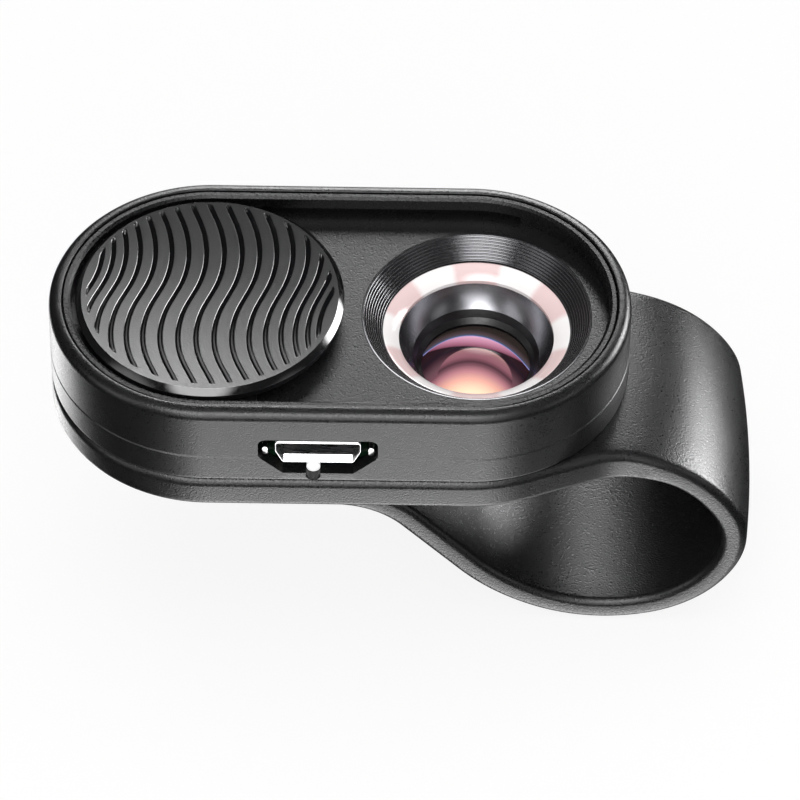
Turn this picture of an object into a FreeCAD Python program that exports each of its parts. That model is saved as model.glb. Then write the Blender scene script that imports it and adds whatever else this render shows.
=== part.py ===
import FreeCAD
import Part

import math
import os

import Sketcher

# Clip-on close-up lens for a phone, in millimetres.
# The lens axis is Z, and Z = 0 is the face of the soft ring that lies on the phone.
# The object side of the lens faces +Z. The clip's loop goes round the phone's edge on the +X side.
# The charging port is in the -Y wall.

SIZES = {
    # Housing outline: a stadium whose right arc is set a little left of the lens axis
    "housing_radius": 14.25,
    "arc_distance": 23.0,
    "lens_offset": 0.6,
    # Heights, from the phone upwards
    "pad_proud": 0.5,
    "plate_thickness": 3.3,
    "plate_seat": 0.1,
    "lower_height": 3.03,
    "upper_height": 5.47,
    "recess_depth": 2.1,
    "deck_thickness": 1.1,
    "bottom_wall": 0.9,
    # Walls of the two shells
    "wall": 1.3,
    "lip_thickness": 0.6,
    "lip_height": 0.8,
    "seam_chamfer": 0.12,
    "rim_bead": 0.5,
    "rim_width": 1.15,
    "foot_fillet": 0.4,
    "slip": 0.05,
    "overshoot": 1.0,
    # Rail frame inside the rim
    "frame_thickness": 0.7,
    "rim_groove": 0.1,
    "land_drop": 0.1,
    "frame_chamfer": 0.25,
    "rail_height": 0.76,
    "rail_end": 0.1,
    # Sliding cover
    "cover_proud": 0.2,
    "cover_gap": 0.4,
    "cover_face_inset": 0.53,
    "cover_foot_inset": 0.3,
    "cover_chamfer": 0.48,
    "cover_thickness": 1.4,
    "wing_half_length": 4.4,
    "wing_play": 0.1,
    "slider_inset": 2.4,
    "magnet_radius": 1.5,
    "magnet_thickness": 0.5,
    "magnet_offset": 7.6,
    # Wave grooves of the grip face
    "groove_count": 17,
    "groove_pitch": 1.6,
    "groove_width": 0.42,
    "groove_depth": 0.35,
    "wave_half_length": 9.7,
    "wave_height": 1.23,
    "wave_lean": 24.2,
    "wave_phase": 0.45,
    "wave_end_inset": 0.47,
    "wave_reach_shift": 0.2,
    "cutter_height": 5.0,
    # Rings round the lens well
    "funnel_radius": 10.05,
    "funnel_foot_radius": 8.3,
    "funnel_depth": 1.83,
    "funnel_steps": 9,
    "funnel_flange": 0.35,
    "diffuser_radius": 6.89,
    "diffuser_drop": 0.9,
    "diffuser_body": 0.35,
    "diffuser_rim": 0.8,
    "cup_foot_radius": 5.63,
    "cup_depth": 2.33,
    "cup_wall": 0.45,
    "cup_sag": 0.22,
    # Lens barrel and its glass
    "barrel_radius": 6.2,
    "barrel_flange": 0.5,
    "barrel_rear": 0.25,
    "barrel_lip_radius": 4.85,
    "barrel_lip": 0.3,
    "glass_radius": 5.2,
    "front_edge": 1.0,
    "front_crown": 1.15,
    "front_back": 0.3,
    "spacer_length": 0.5,
    "spacer_wall": 0.35,
    "rear_edge": 0.45,
    "rear_crown": 0.3,
    "retainer_length": 0.4,
    "retainer_wall": 0.6,
    # Board and what it carries
    "board_thickness": 0.8,
    "board_gap": 0.25,
    "post_height": 0.75,
    "post_radius": 0.9,
    "post_inset": 2.6,
    "board_hole_play": 0.25,
    "light_count": 8,
    "light_length": 1.2,
    "light_width": 0.8,
    "light_height": 0.55,
    "cell_length": 18.0,
    "cell_width": 17.0,
    "cell_height": 2.3,
    "cell_play": 0.1,
    "cell_right": 11.5,
    "cell_shift": 2.0,
    "chip_side": 3.0,
    "chip_height": 0.85,
    "chip_left": 4.2,
    "sensor_length": 2.9,
    "sensor_width": 1.6,
    "sensor_height": 1.0,
    "chip_row": 9.4,
    # Charging port
    "port_centre": 13.78,
    "port_width": 10.5,
    "port_foot_width": 6.2,
    "port_top": 2.26,
    "port_depth": 2.5,
    "port_shoulder": 0.07,
    "port_bottom": 1.93,
    "port_corner": 0.7,
    "usb_width": 7.5,
    "usb_foot_width": 5.9,
    "usb_height": 2.35,
    "usb_side": 1.1,
    "usb_wall": 0.28,
    "usb_length": 5.2,
    "usb_inset": 0.65,
    "tongue_width": 3.9,
    "tongue_thickness": 0.6,
    "tongue_length": 4.2,
    # Indicator
    "window_offset": 0.42,
    "window_drop": 0.05,
    "window_radius": 0.66,
    "pipe_play": 0.06,
    "pipe_inset": 1.0,
    "pipe_length": 1.8,
    "led_length": 1.6,
    "led_depth": 0.9,
    "led_height": 0.65,
    # Screws
    "screw_radius": 0.7,
    "screw_head_radius": 1.35,
    "screw_head_height": 0.8,
    "screw_sink": 0.15,
    "screw_length": 6.6,
    "screw_play": 0.05,
    "boss_radius": 1.1,
    "boss_gap": 0.1,
    "boss_right": 1.0,
    "boss_left": 7.4,
    # Spring clip
    "band_step": 3.95,
    "band_thickness": 2.4,
    "band_root": 3.12,
    "flare_angle": 20.8,
    "flare_radius": 14.0,
    "root_start": 1.0,
    "root_turn": 12.5,
    "clip_edge": 0.7,
    "clip_inner_edge": 0.5,
    "crown_radius": 13.92,
    "crown_angle": 28.3,
    "shoulder_radius": 13.04,
    "shoulder_angle": 33.7,
    "side_radius": 7.51,
    "side_angle": 49.5,
    "heel_radius": 10.44,
    "heel_angle": 51.8,
    "sole_radius": 14.73,
    "sole_angle": 39.2,
    "rise_radius": 18.3,
    "rise_angle": 25.6,
    "reach_length": 7.84,
    "knee_radius": 9.2,
    "knee_angle": 44.2,
    "jaw_length": 5.0,
    "lip_radius": 9.0,
    "lip_angle": 22.0,
    # Soft pads
    "pad_recess": 0.4,
    "pad_radius": 9.2,
    "pad_hole_radius": 6.8,
    "pad_play": 0.05,
    "jaw_pad_length": 7.0,
    "jaw_pad_width": 14.0,
    "jaw_pad_centre": 14.6,
    "jaw_pad_corner": 1.5,
    "arm_pad_thickness": 1.0,
    "arm_pad_length": 5.0,
}

document = FreeCAD.newDocument("clip_on_lens")
sheet = document.addObject("Spreadsheet::Sheet", "Sizes")
for row, (alias, number) in enumerate(SIZES.items(), start=1):
    sheet.set("A%d" % row, alias)
    sheet.set("B%d" % row, str(number))
    sheet.setAlias("B%d" % row, alias)
document.recompute()


class Length:
    """A size that carries its present value and the formula that ties it to the sheet."""

    def __init__(self, value, formula):
        self.value = value
        self.formula = formula

    def __add__(self, other):
        other = as_length(other)
        return Length(self.value + other.value, "(%s + %s)" % (self.formula, other.formula))

    def __sub__(self, other):
        other = as_length(other)
        return Length(self.value - other.value, "(%s - %s)" % (self.formula, other.formula))

    def __mul__(self, other):
        other = as_length(other)
        return Length(self.value * other.value, "(%s * %s)" % (self.formula, other.formula))

    def __truediv__(self, other):
        other = as_length(other)
        return Length(self.value / other.value, "(%s / %s)" % (self.formula, other.formula))

    def __neg__(self):
        return Length(-self.value, "(0 - %s)" % self.formula)


def as_length(number):
    """A plain number as a Length."""
    if isinstance(number, Length):
        return number
    return Length(float(number), "%.6g" % number)


def square_root(length):
    """The square root of a Length."""
    return Length(math.sqrt(length.value), "sqrt(%s)" % length.formula)


def size(alias):
    """The driving dimension of that name."""
    return Length(float(sheet.get(alias)), "Sizes.%s" % alias)


# Levels and places that several pieces share

lens_x = as_length(0)
right_x = lens_x - size("lens_offset")
left_x = right_x - size("arc_distance")
middle_x = (left_x + right_x) / 2

plate_bottom = size("pad_proud")
plate_top = plate_bottom + size("plate_thickness")
lower_bottom = plate_top + size("plate_seat")
lower_floor = lower_bottom + size("bottom_wall")
seam = lower_bottom + size("lower_height")
rim_top = seam + size("upper_height")
deck_top = rim_top - size("recess_depth")
deck_bottom = deck_top - size("deck_thickness")

housing_radius = size("housing_radius")
cavity_radius = housing_radius - size("wall")
recess_radius = housing_radius - size("rim_width")
frame_outer = recess_radius - size("rim_groove")
frame_inner = frame_outer - size("frame_thickness")
wing_reach = frame_outer - size("wing_play")
rail_top = deck_top + size("rail_height")

cover_top = rim_top + size("cover_proud")
cover_radius = frame_inner - size("cover_gap")
cover_face_radius = cover_radius - size("cover_face_inset")
cover_bottom = cover_top - size("cover_thickness")
slider_bottom = deck_top + size("wing_play")
wing_top = rail_top - size("wing_play")

funnel_bottom = deck_top - size("funnel_depth")
diffuser_edge = funnel_bottom - size("diffuser_drop")
diffuser_bottom = diffuser_edge - size("diffuser_body")
cup_bottom = diffuser_edge - size("cup_depth")
barrel_bottom = plate_bottom + size("barrel_rear")
glass_seat = cup_bottom - size("front_crown") - size("barrel_lip")
front_back = glass_seat - size("front_edge")
spacer_bottom = front_back - size("spacer_length")
rear_bottom = spacer_bottom - size("rear_edge")
glass_bore = size("glass_radius") + size("slip")

board_bottom = lower_floor + size("post_height")
board_top = board_bottom + size("board_thickness")

port_x = -size("port_centre")
usb_bottom = board_top
usb_face = -(housing_radius - size("usb_inset"))
window_x = port_x - size("window_offset")
window_z = lower_floor - size("window_drop")

band_half_width = housing_radius - size("band_step")
band_start = right_x + housing_radius - size("band_root")

screw_bottom = plate_bottom + size("screw_sink")
screw_tip = screw_bottom + size("screw_length")

# The screw bosses stand just clear of the cavity's wall, on the arcs at both ends.
boss_reach = cavity_radius - size("boss_radius") - size("boss_gap")
right_run = size("boss_right") + size("lens_offset")
right_boss_y = square_root(boss_reach * boss_reach - right_run * right_run)
left_boss_y = square_root(boss_reach * boss_reach - size("boss_left") * size("boss_left"))
boss_places = [
    (lens_x + size("boss_right"), right_boss_y),
    (lens_x + size("boss_right"), -right_boss_y),
    (left_x - size("boss_left"), left_boss_y),
    (left_x - size("boss_left"), -left_boss_y),
]


# Sketches and features

def new_body(label):
    """An empty body that will be one piece."""
    body = document.addObject("PartDesign::Body", label)
    body.Label = label
    return body


def sketch_on(body, name, role, lift=None):
    """A sketch on one of the body's own origin planes, raised by lift."""
    sketch = body.newObject("Sketcher::SketchObject", name)
    plane = [feature for feature in body.Origin.OriginFeatures if feature.Role == role][0]
    sketch.AttachmentSupport = [(plane, "")]
    sketch.MapMode = "FlatFace"
    if lift is not None:
        sketch.AttachmentOffset = FreeCAD.Placement(FreeCAD.Vector(0, 0, lift.value), FreeCAD.Rotation())
        sketch.setExpression("AttachmentOffset.Base.z", lift.formula)
    return sketch


def bind(sketch, constraint, length):
    """Add one dimension to a sketch and tie it to its formula."""
    index = sketch.addConstraint(constraint)
    name = "size_%d" % index
    sketch.renameConstraint(index, name)
    sketch.setExpression("Constraints.%s" % name, length.formula)


def pin_point(sketch, geometry, end, x, y):
    """Hold one point of a sketch at x, y."""
    x = as_length(x)
    y = as_length(y)
    for kind, length, axis in (("DistanceX", x, -2), ("DistanceY", y, -1)):
        if length.value == 0:
            sketch.addConstraint(Sketcher.Constraint("PointOnObject", geometry, end, axis))
        else:
            bind(sketch, Sketcher.Constraint(kind, -1, 1, geometry, end, length.value), length)


def draw_circle(sketch, x, y, radius):
    """A circle with its centre and radius held."""
    centre = FreeCAD.Vector(as_length(x).value, as_length(y).value, 0)
    index = sketch.addGeometry(Part.Circle(centre, FreeCAD.Vector(0, 0, 1), radius.value), False)
    pin_point(sketch, index, 3, x, y)
    bind(sketch, Sketcher.Constraint("Radius", index, radius.value), radius)


def draw_stadium(sketch, left, right, radius):
    """Two half circles about left and right on the X axis, joined by two lines."""
    up = FreeCAD.Vector(0, 0, 1)
    left_circle = Part.Circle(FreeCAD.Vector(left.value, 0, 0), up, radius.value)
    right_circle = Part.Circle(FreeCAD.Vector(right.value, 0, 0), up, radius.value)
    quarter = math.pi / 2
    arc_left = sketch.addGeometry(Part.ArcOfCircle(left_circle, quarter, 3 * quarter), False)
    arc_right = sketch.addGeometry(Part.ArcOfCircle(right_circle, -quarter, quarter), False)
    low = -radius.value
    high = radius.value
    bottom = sketch.addGeometry(
        Part.LineSegment(FreeCAD.Vector(left.value, low, 0), FreeCAD.Vector(right.value, low, 0)), False)
    top = sketch.addGeometry(
        Part.LineSegment(FreeCAD.Vector(right.value, high, 0), FreeCAD.Vector(left.value, high, 0)), False)
    for first, first_end, second, second_end in (
            (arc_left, 2, bottom, 1), (bottom, 2, arc_right, 1), (arc_right, 2, top, 1), (top, 2, arc_left, 1)):
        sketch.addConstraint(Sketcher.Constraint("Tangent", first, first_end, second, second_end))
    pin_point(sketch, arc_left, 3, left, 0)
    pin_point(sketch, arc_right, 3, right, 0)
    bind(sketch, Sketcher.Constraint("Radius", arc_right, radius.value), radius)


def draw_outline(sketch, corners):
    """A closed outline through corners (x, y) or (x, y, radius).

    A radius makes the side from that corner to the next an arc. The outline runs anticlockwise, and a
    positive radius bulges outwards.
    """
    points = [FreeCAD.Vector(as_length(corner[0]).value, as_length(corner[1]).value, 0) for corner in corners]
    sides = []
    for place, corner in enumerate(corners):
        start = points[place]
        end = points[(place + 1) % len(points)]
        if len(corner) == 2:
            sides.append(sketch.addGeometry(Part.LineSegment(start, end), False))
        else:
            radius = corner[2].value
            chord = end - start
            half = chord.Length / 2
            outwards = FreeCAD.Vector(chord.y, -chord.x, 0).normalize()
            if radius < 0:
                outwards = -outwards
            rise = abs(radius) - math.sqrt(radius * radius - half * half)
            crest = start + chord / 2 + outwards * rise
            sides.append(sketch.addGeometry(Part.Arc(start, crest, end), False))
    for place, corner in enumerate(corners):
        side = sides[place]
        bulge = len(corner) == 3
        # An arc always runs anticlockwise in its own sketch, so an arc that bulges inwards is reversed.
        start_end = 2 if bulge and corner[2].value < 0 else 1
        finish_end = 3 - start_end
        following = sides[(place + 1) % len(sides)]
        next_corner = corners[(place + 1) % len(corners)]
        next_start = 2 if len(next_corner) == 3 and next_corner[2].value < 0 else 1
        sketch.addConstraint(Sketcher.Constraint("Coincident", side, finish_end, following, next_start))
        pin_point(sketch, side, start_end, corner[0], corner[1])
        if bulge:
            radius = corner[2] if corner[2].value > 0 else -corner[2]
            bind(sketch, Sketcher.Constraint("Radius", side, radius.value), radius)


def draw_box(sketch, x_low, x_high, y_low, y_high):
    """A rectangle."""
    draw_outline(sketch, [(x_low, y_low), (x_high, y_low), (x_high, y_high), (x_low, y_high)])


def extrude(body, kind, name, sketch, length, backwards=False):
    """A Pad or Pocket of a sketch."""
    feature = body.newObject("PartDesign::" + kind, name)
    feature.Profile = sketch
    feature.Length = length.value
    feature.setExpression("Length", length.formula)
    feature.Reversed = backwards
    sketch.Visibility = False
    return feature


def revolve(body, kind, name, sketch):
    """A Revolution or Groove of a sketch about its upright axis."""
    feature = body.newObject("PartDesign::" + kind, name)
    feature.Profile = sketch
    feature.ReferenceAxis = (sketch, ["V_Axis"])
    feature.Angle = 360
    sketch.Visibility = False
    return feature


def dress(body, kind, name, base, edges, length):
    """A Fillet or Chamfer of the named edges."""
    feature = body.newObject("PartDesign::" + kind, name)
    feature.Base = (base, edges)
    bound = "Radius" if kind == "Fillet" else "Size"
    setattr(feature, bound, length.value)
    feature.setExpression(bound, length.formula)
    return feature


def spine_distance(point):
    """How far a point is from the housing's middle line."""
    x = min(max(point.x, left_x.value), right_x.value)
    return math.hypot(point.x - x, point.y)


def outline_edges(feature, level, radius):
    """Names of the edges that lie at a height and at a distance from the housing's middle line."""
    document.recompute()
    names = []
    for place, edge in enumerate(feature.Shape.Edges, start=1):
        middle = edge.valueAt((edge.FirstParameter + edge.LastParameter) / 2)
        ends = [vertex.Point for vertex in edge.Vertexes]
        on_level = all(abs(point.z - level.value) < 0.001 for point in ends + [middle])
        on_outline = all(abs(spine_distance(point) - radius.value) < 0.001 for point in ends + [middle])
        if on_level and on_outline:
            names.append("Edge%d" % place)
    return names


def turned_ring(label, corners):
    """A piece turned about the lens axis from its half section (radius, height)."""
    body = new_body(label)
    sketch = sketch_on(body, label + "_section", "XZ_Plane")
    draw_outline(sketch, corners)
    revolve(body, "Revolution", label + "_turned", sketch)
    return body


def block(label, x_low, x_high, y_low, y_high, z_low, z_high):
    """A box as a bound primitive."""
    box = document.addObject("Part::Box", label)
    box.Label = label
    for name, low, high, axis in (
            ("Length", x_low, x_high, "x"), ("Width", y_low, y_high, "y"), ("Height", z_low, z_high, "z")):
        low = as_length(low)
        box.setExpression(name, (as_length(high) - low).formula)
        box.setExpression("Placement.Base.%s" % axis, low.formula)
    return box


# Upper housing: rim, deck under the recess, hollow under the deck, screw bosses and half of the port

def port_corners():
    """The port cut-out, as a front view in X and Z."""
    half = size("port_width") / 2
    foot = size("port_foot_width") / 2
    corner = size("port_corner")
    top = seam + size("port_top")
    shoulder = seam + size("port_shoulder")
    bottom = seam - size("port_bottom")
    return [
        (port_x - foot, bottom),
        (port_x + foot, bottom),
        (port_x + half, shoulder),
        (port_x + half, top - corner, corner),
        (port_x + half - corner, top),
        (port_x - half + corner, top, corner),
        (port_x - half, top - corner),
        (port_x - half, shoulder),
    ]


def cut_port(body):
    """Cut the port through the front wall only."""
    sketch = sketch_on(body, "port_outline_" + body.Name, "XZ_Plane", housing_radius + size("overshoot"))
    draw_outline(sketch, port_corners())
    extrude(body, "Pocket", "port_cut_" + body.Name, sketch, size("port_depth"))


def make_upper_housing():
    body = new_body("upper_housing")
    outline = sketch_on(body, "rim_outline", "XY_Plane", seam)
    draw_stadium(outline, left_x, right_x, housing_radius)
    shell = extrude(body, "Pad", "shell", outline, size("upper_height"))
    dress(body, "Fillet", "rim_bead", shell, outline_edges(shell, rim_top, housing_radius), size("rim_bead"))
    recess = sketch_on(body, "recess_outline", "XY_Plane", rim_top)
    draw_stadium(recess, left_x, right_x, recess_radius)
    extrude(body, "Pocket", "recess", recess, size("recess_depth"))
    hollow = sketch_on(body, "hollow_outline", "XY_Plane", seam)
    draw_stadium(hollow, left_x, right_x, cavity_radius)
    extrude(body, "Pocket", "hollow", hollow, deck_bottom - seam, True)
    rabbet = sketch_on(body, "rabbet_outline", "XY_Plane", seam)
    draw_stadium(rabbet, left_x, right_x, cavity_radius + size("lip_thickness") + size("slip"))
    extrude(body, "Pocket", "rabbet", rabbet, size("lip_height") + size("slip") * 2, True)
    mouth = sketch_on(body, "mouth_outline", "XY_Plane", deck_top)
    draw_circle(mouth, lens_x, 0, size("funnel_radius") + size("rim_groove") + size("slip"))
    extrude(body, "Pocket", "mouth", mouth, size("deck_thickness"))
    bosses = sketch_on(body, "boss_circles", "XY_Plane", deck_bottom)
    for x, y in boss_places:
        draw_circle(bosses, x, y, size("boss_radius"))
    extrude(body, "Pad", "bosses", bosses, deck_bottom - lower_floor, True)
    bores = sketch_on(body, "bore_circles", "XY_Plane", lower_floor)
    for x, y in boss_places:
        draw_circle(bores, x, y, size("screw_radius") + size("screw_play"))
    extrude(body, "Pocket", "bores", bores, screw_tip - lower_floor + size("screw_sink"), True)
    cut_port(body)
    seam_edges = outline_edges(body.Tip, seam, housing_radius)
    dress(body, "Chamfer", "upper_seam", body.Tip, seam_edges, size("seam_chamfer"))
    return body


def make_rail_frame():
    """The ring inside the rim, with a window for the cover's wing at the foot of each long side."""
    body = new_body("rail_frame")
    outer = sketch_on(body, "frame_outer_outline", "XY_Plane", deck_top)
    draw_stadium(outer, left_x, right_x, frame_outer)
    ring = extrude(body, "Pad", "frame_ring", outer, rim_top - size("land_drop") - deck_top)
    inner = sketch_on(body, "frame_inner_outline", "XY_Plane", rim_top)
    draw_stadium(inner, left_x, right_x, frame_inner)
    ring = extrude(body, "Pocket", "frame_well", inner, size("recess_depth"))
    land = rim_top - size("land_drop")
    names = outline_edges(ring, land, frame_inner)
    dress(body, "Chamfer", "frame_inner_edge", ring, names, size("frame_chamfer"))
    names = outline_edges(body.Tip, land, frame_outer)
    dress(body, "Chamfer", "frame_outer_edge", body.Tip, names, size("rim_groove"))
    windows = sketch_on(body, "rail_windows", "XY_Plane", deck_top)
    end = size("wing_half_length") + size("rail_end")
    reach = size("arc_distance") / 2 + end
    near = square_root(frame_inner * frame_inner - end * end) - size("slip")
    far = housing_radius
    draw_box(windows, middle_x - reach, middle_x + reach, -far, -near)
    draw_box(windows, middle_x - reach, middle_x + reach, near, far)
    extrude(body, "Pocket", "rails", windows, size("rail_height"), True)
    return body


# Lower housing: tray with a tongue that fits the upper shell's rabbet

def make_lower_housing():
    body = new_body("lower_housing")
    outline = sketch_on(body, "tray_outline", "XY_Plane", lower_bottom)
    draw_stadium(outline, left_x, right_x, housing_radius)
    shell = extrude(body, "Pad", "tray", outline, size("lower_height"))
    dress(body, "Fillet", "foot", shell, outline_edges(shell, lower_bottom, housing_radius), size("foot_fillet"))
    lip = sketch_on(body, "tongue_outline", "XY_Plane", seam)
    draw_stadium(lip, left_x, right_x, cavity_radius + size("lip_thickness"))
    extrude(body, "Pad", "tongue", lip, size("lip_height"))
    hollow = sketch_on(body, "tray_hollow_outline", "XY_Plane", seam + size("lip_height"))
    draw_stadium(hollow, left_x, right_x, cavity_radius)
    extrude(body, "Pocket", "tray_hollow", hollow, seam + size("lip_height") - lower_floor)
    posts = sketch_on(body, "post_circles", "XY_Plane", lower_floor)
    post_y = cavity_radius - size("post_inset")
    for x in (left_x, middle_x):
        for y in (post_y, -post_y):
            draw_circle(posts, x, y, size("post_radius"))
    extrude(body, "Pad", "posts", posts, size("post_height"))
    holes = sketch_on(body, "tray_holes", "XY_Plane", lower_floor)
    draw_circle(holes, lens_x, 0, size("barrel_radius") + size("slip"))
    for x, y in boss_places:
        draw_circle(holes, x, y, size("screw_radius") + size("screw_play"))
    extrude(body, "Pocket", "tray_drilled", holes, size("bottom_wall"))
    cut_port(body)
    window = sketch_on(body, "window_circle", "XZ_Plane", housing_radius)
    draw_circle(window, window_x, window_z, size("window_radius"))
    extrude(body, "Pocket", "window", window, size("pipe_inset") + size("pipe_length") + size("slip"))
    seam_edges = outline_edges(body.Tip, seam, housing_radius)
    dress(body, "Chamfer", "lower_seam", body.Tip, seam_edges, size("seam_chamfer"))
    return body


# Sliding cover: its bodies are drawn round their own centre and placed on the left arc's centre

def place_on_cover(piece):
    piece.setExpression("Placement.Base.x", left_x.formula)


def wave_edges(shift, offset):
    """Edges of one side of a wave line: crest arcs joined by straight runs that lean by the wave's lean.

    The line crosses x = shift midway between crests. The offset moves the edge to +X, so the arc of one
    crest grows and that of the next shrinks, and the straight runs stay tangent to both.
    """
    half_chord = size("wave_half_length").value / 2
    height = size("wave_height").value
    lean = math.radians(size("wave_lean").value)
    radius = (half_chord * math.tan(lean) - height) / (1 / math.cos(lean) - 1)
    edges = []
    last = None
    for step in (-2, -1, 0, 1):
        side = 1 if step % 2 == 0 else -1
        middle_y = (step + 0.5) * 2 * half_chord + size("wave_phase").value
        centre = FreeCAD.Vector(shift + side * (height - radius), middle_y, 0)
        reach = radius + side * offset
        points = []
        for angle in (-lean, 0, lean):
            points.append(centre + FreeCAD.Vector(side * reach * math.cos(angle), reach * math.sin(angle), 0))
        if last is not None:
            edges.append(Part.makeLine(last, points[0]))
        edges.append(Part.Arc(points[0], points[1], points[2]).toShape())
        last = points[2]
    return edges


def wave_groove(shift):
    """One groove cutter: a wavy strip with the disc's reach as its limit, as a solid."""
    half = size("groove_width").value / 2
    right = wave_edges(shift, half)
    left = wave_edges(shift, -half)
    foot = Part.makeLine(left[0].Vertexes[0].Point, right[0].Vertexes[0].Point)
    head = Part.makeLine(right[-1].Vertexes[-1].Point, left[-1].Vertexes[-1].Point)
    wire = Part.Wire(Part.__sortEdges__([foot] + right + [head] + left))
    height = size("cutter_height").value
    strip = Part.Face(wire).extrude(FreeCAD.Vector(0, 0, height))
    limit = cover_face_radius - size("wave_end_inset")
    reach = Part.makeCylinder(limit.value, height, FreeCAD.Vector(0, size("wave_reach_shift").value, 0))
    return strip.common(reach)


def make_cover_disc():
    """Turned disc with a magnet pocket below and the wave grooves in its face."""
    body = new_body("cover_blank")
    section = sketch_on(body, "cover_section", "XZ_Plane")
    draw_outline(section, [
        (0, cover_bottom),
        (cover_radius - size("cover_foot_inset"), cover_bottom),
        (cover_radius, cover_top - size("cover_chamfer")),
        (cover_face_radius, cover_top),
        (0, cover_top),
    ])
    revolve(body, "Revolution", "cover_turned", section)
    pocket = sketch_on(body, "magnet_circle", "XY_Plane", cover_bottom)
    draw_circle(pocket, 0, -size("magnet_offset"), size("magnet_radius") + size("slip"))
    extrude(body, "Pocket", "magnet_pocket", pocket, size("magnet_thickness") + size("slip"), True)
    place_on_cover(body)
    count = int(size("groove_count").value)
    waves = []
    for number in range(count):
        shift = (number - (count - 1) / 2) * size("groove_pitch").value
        waves.append(wave_groove(shift))
    waves = [wave for wave in waves if wave.Solids]
    cutters = document.addObject("Part::Feature", "wave_cutters")
    cutters.Shape = Part.makeCompound(waves)
    floor = cover_top - size("groove_depth")
    cutters.Placement = FreeCAD.Placement(FreeCAD.Vector(left_x.value, 0, floor.value), FreeCAD.Rotation())
    disc = document.addObject("Part::Cut", "cover_disc")
    disc.Label = "cover_disc"
    disc.Base = body
    disc.Tool = cutters
    return disc


def make_cover_slider():
    """Round carriage with a wing each side that runs in the rails, its tips on one circle."""
    body = new_body("cover_slider")
    hub = sketch_on(body, "slider_circle", "XY_Plane", slider_bottom)
    draw_circle(hub, 0, 0, cover_radius - size("slider_inset"))
    extrude(body, "Pad", "slider_hub", hub, cover_bottom - slider_bottom)
    wing = sketch_on(body, "wing_outline", "XY_Plane", slider_bottom)
    half = size("wing_half_length")
    tip_y = square_root(wing_reach * wing_reach - half * half)
    draw_outline(wing, [(-half, -tip_y, wing_reach), (half, -tip_y), (half, tip_y, wing_reach), (-half, tip_y)])
    extrude(body, "Pad", "wings", wing, wing_top - slider_bottom)
    place_on_cover(body)
    return body


def make_cover_magnet():
    magnet = document.addObject("Part::Cylinder", "cover_magnet")
    magnet.Label = "cover_magnet"
    magnet.setExpression("Radius", size("magnet_radius").formula)
    magnet.setExpression("Height", size("magnet_thickness").formula)
    magnet.setExpression("Placement.Base.x", left_x.formula)
    magnet.setExpression("Placement.Base.y", (-size("magnet_offset")).formula)
    magnet.setExpression("Placement.Base.z", cover_bottom.formula)
    return magnet


# Rings of the lens well, from the deck down to the glass

def make_funnel_ring():
    """Ridged funnel: a stair of equal steps from the deck down to the diffuser."""
    steps = int(size("funnel_steps").value)
    foot = size("funnel_foot_radius")
    tread = (size("funnel_radius") - foot) / steps
    riser = size("funnel_depth") / (steps + 1)
    outer = size("funnel_radius") + size("rim_groove")
    flange = outer + size("funnel_flange")
    shoulder = deck_bottom - size("slip")
    corners = [
        (foot, funnel_bottom),
        (flange, funnel_bottom),
        (flange, shoulder),
        (outer, shoulder),
        (outer, deck_top),
        (size("funnel_radius"), deck_top),
    ]
    for step in range(steps, 0, -1):
        level = funnel_bottom + riser * step
        corners.append((foot + tread * step, level))
        corners.append((foot + tread * (step - 1), level))
    return turned_ring("funnel_ring", corners)


def make_light_ring():
    """Diffuser with a sloped face, seated under the funnel ring."""
    rim = size("funnel_foot_radius") + size("diffuser_rim")
    top = funnel_bottom - size("slip")
    return turned_ring("light_ring", [
        (size("diffuser_radius"), diffuser_bottom),
        (rim, diffuser_bottom),
        (rim, top),
        (size("funnel_foot_radius"), top),
        (size("diffuser_radius"), diffuser_edge),
    ])


def make_reflector_cup():
    """Thin concave cup from the diffuser down to the barrel."""
    top = diffuser_bottom - size("slip")
    foot = size("cup_foot_radius")
    wall = size("cup_wall")
    rise = top - cup_bottom
    widen = size("diffuser_radius") - foot
    sag = size("cup_sag")
    radius = ((rise * rise + widen * widen) / 4 + sag * sag) / (sag * 2)
    return turned_ring("reflector_cup", [
        (foot, cup_bottom),
        (foot + wall, cup_bottom, radius),
        (size("diffuser_radius") + wall, top),
        (size("diffuser_radius"), top, -radius),
    ])


def make_lens_barrel():
    """Barrel that hangs by its flange on the tray's floor and holds the glass."""
    outer = size("barrel_radius")
    flange = outer + size("barrel_flange")
    lip = size("barrel_lip_radius")
    mouth = size("cup_foot_radius")
    return turned_ring("lens_barrel", [
        (glass_bore, barrel_bottom),
        (outer, barrel_bottom),
        (outer, lower_floor),
        (flange, lower_floor),
        (flange, cup_bottom),
        (mouth, cup_bottom),
        (lip, glass_seat + size("barrel_lip")),
        (lip, glass_seat),
        (glass_bore, glass_seat),
    ])


def cap_radius(reach, rise):
    """Radius of a spherical cap from its half width and its height."""
    return (reach * reach + rise * rise) / (rise * 2)


def make_front_lens():
    """Biconvex glass whose front crown rises through the barrel's lip."""
    reach = size("glass_radius")
    clear = size("barrel_lip_radius") - size("slip")
    back = front_back - size("front_back")
    return turned_ring("front_lens", [
        (0, back, cap_radius(clear, size("front_back"))),
        (clear, front_back),
        (reach, front_back),
        (reach, glass_seat),
        (clear, glass_seat, cap_radius(clear, size("front_crown"))),
        (0, glass_seat + size("front_crown")),
    ])


def make_spacer_ring():
    reach = size("glass_radius")
    bore = reach - size("spacer_wall")
    return turned_ring("spacer_ring", [
        (bore, spacer_bottom), (reach, spacer_bottom), (reach, front_back), (bore, front_back)])


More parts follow.
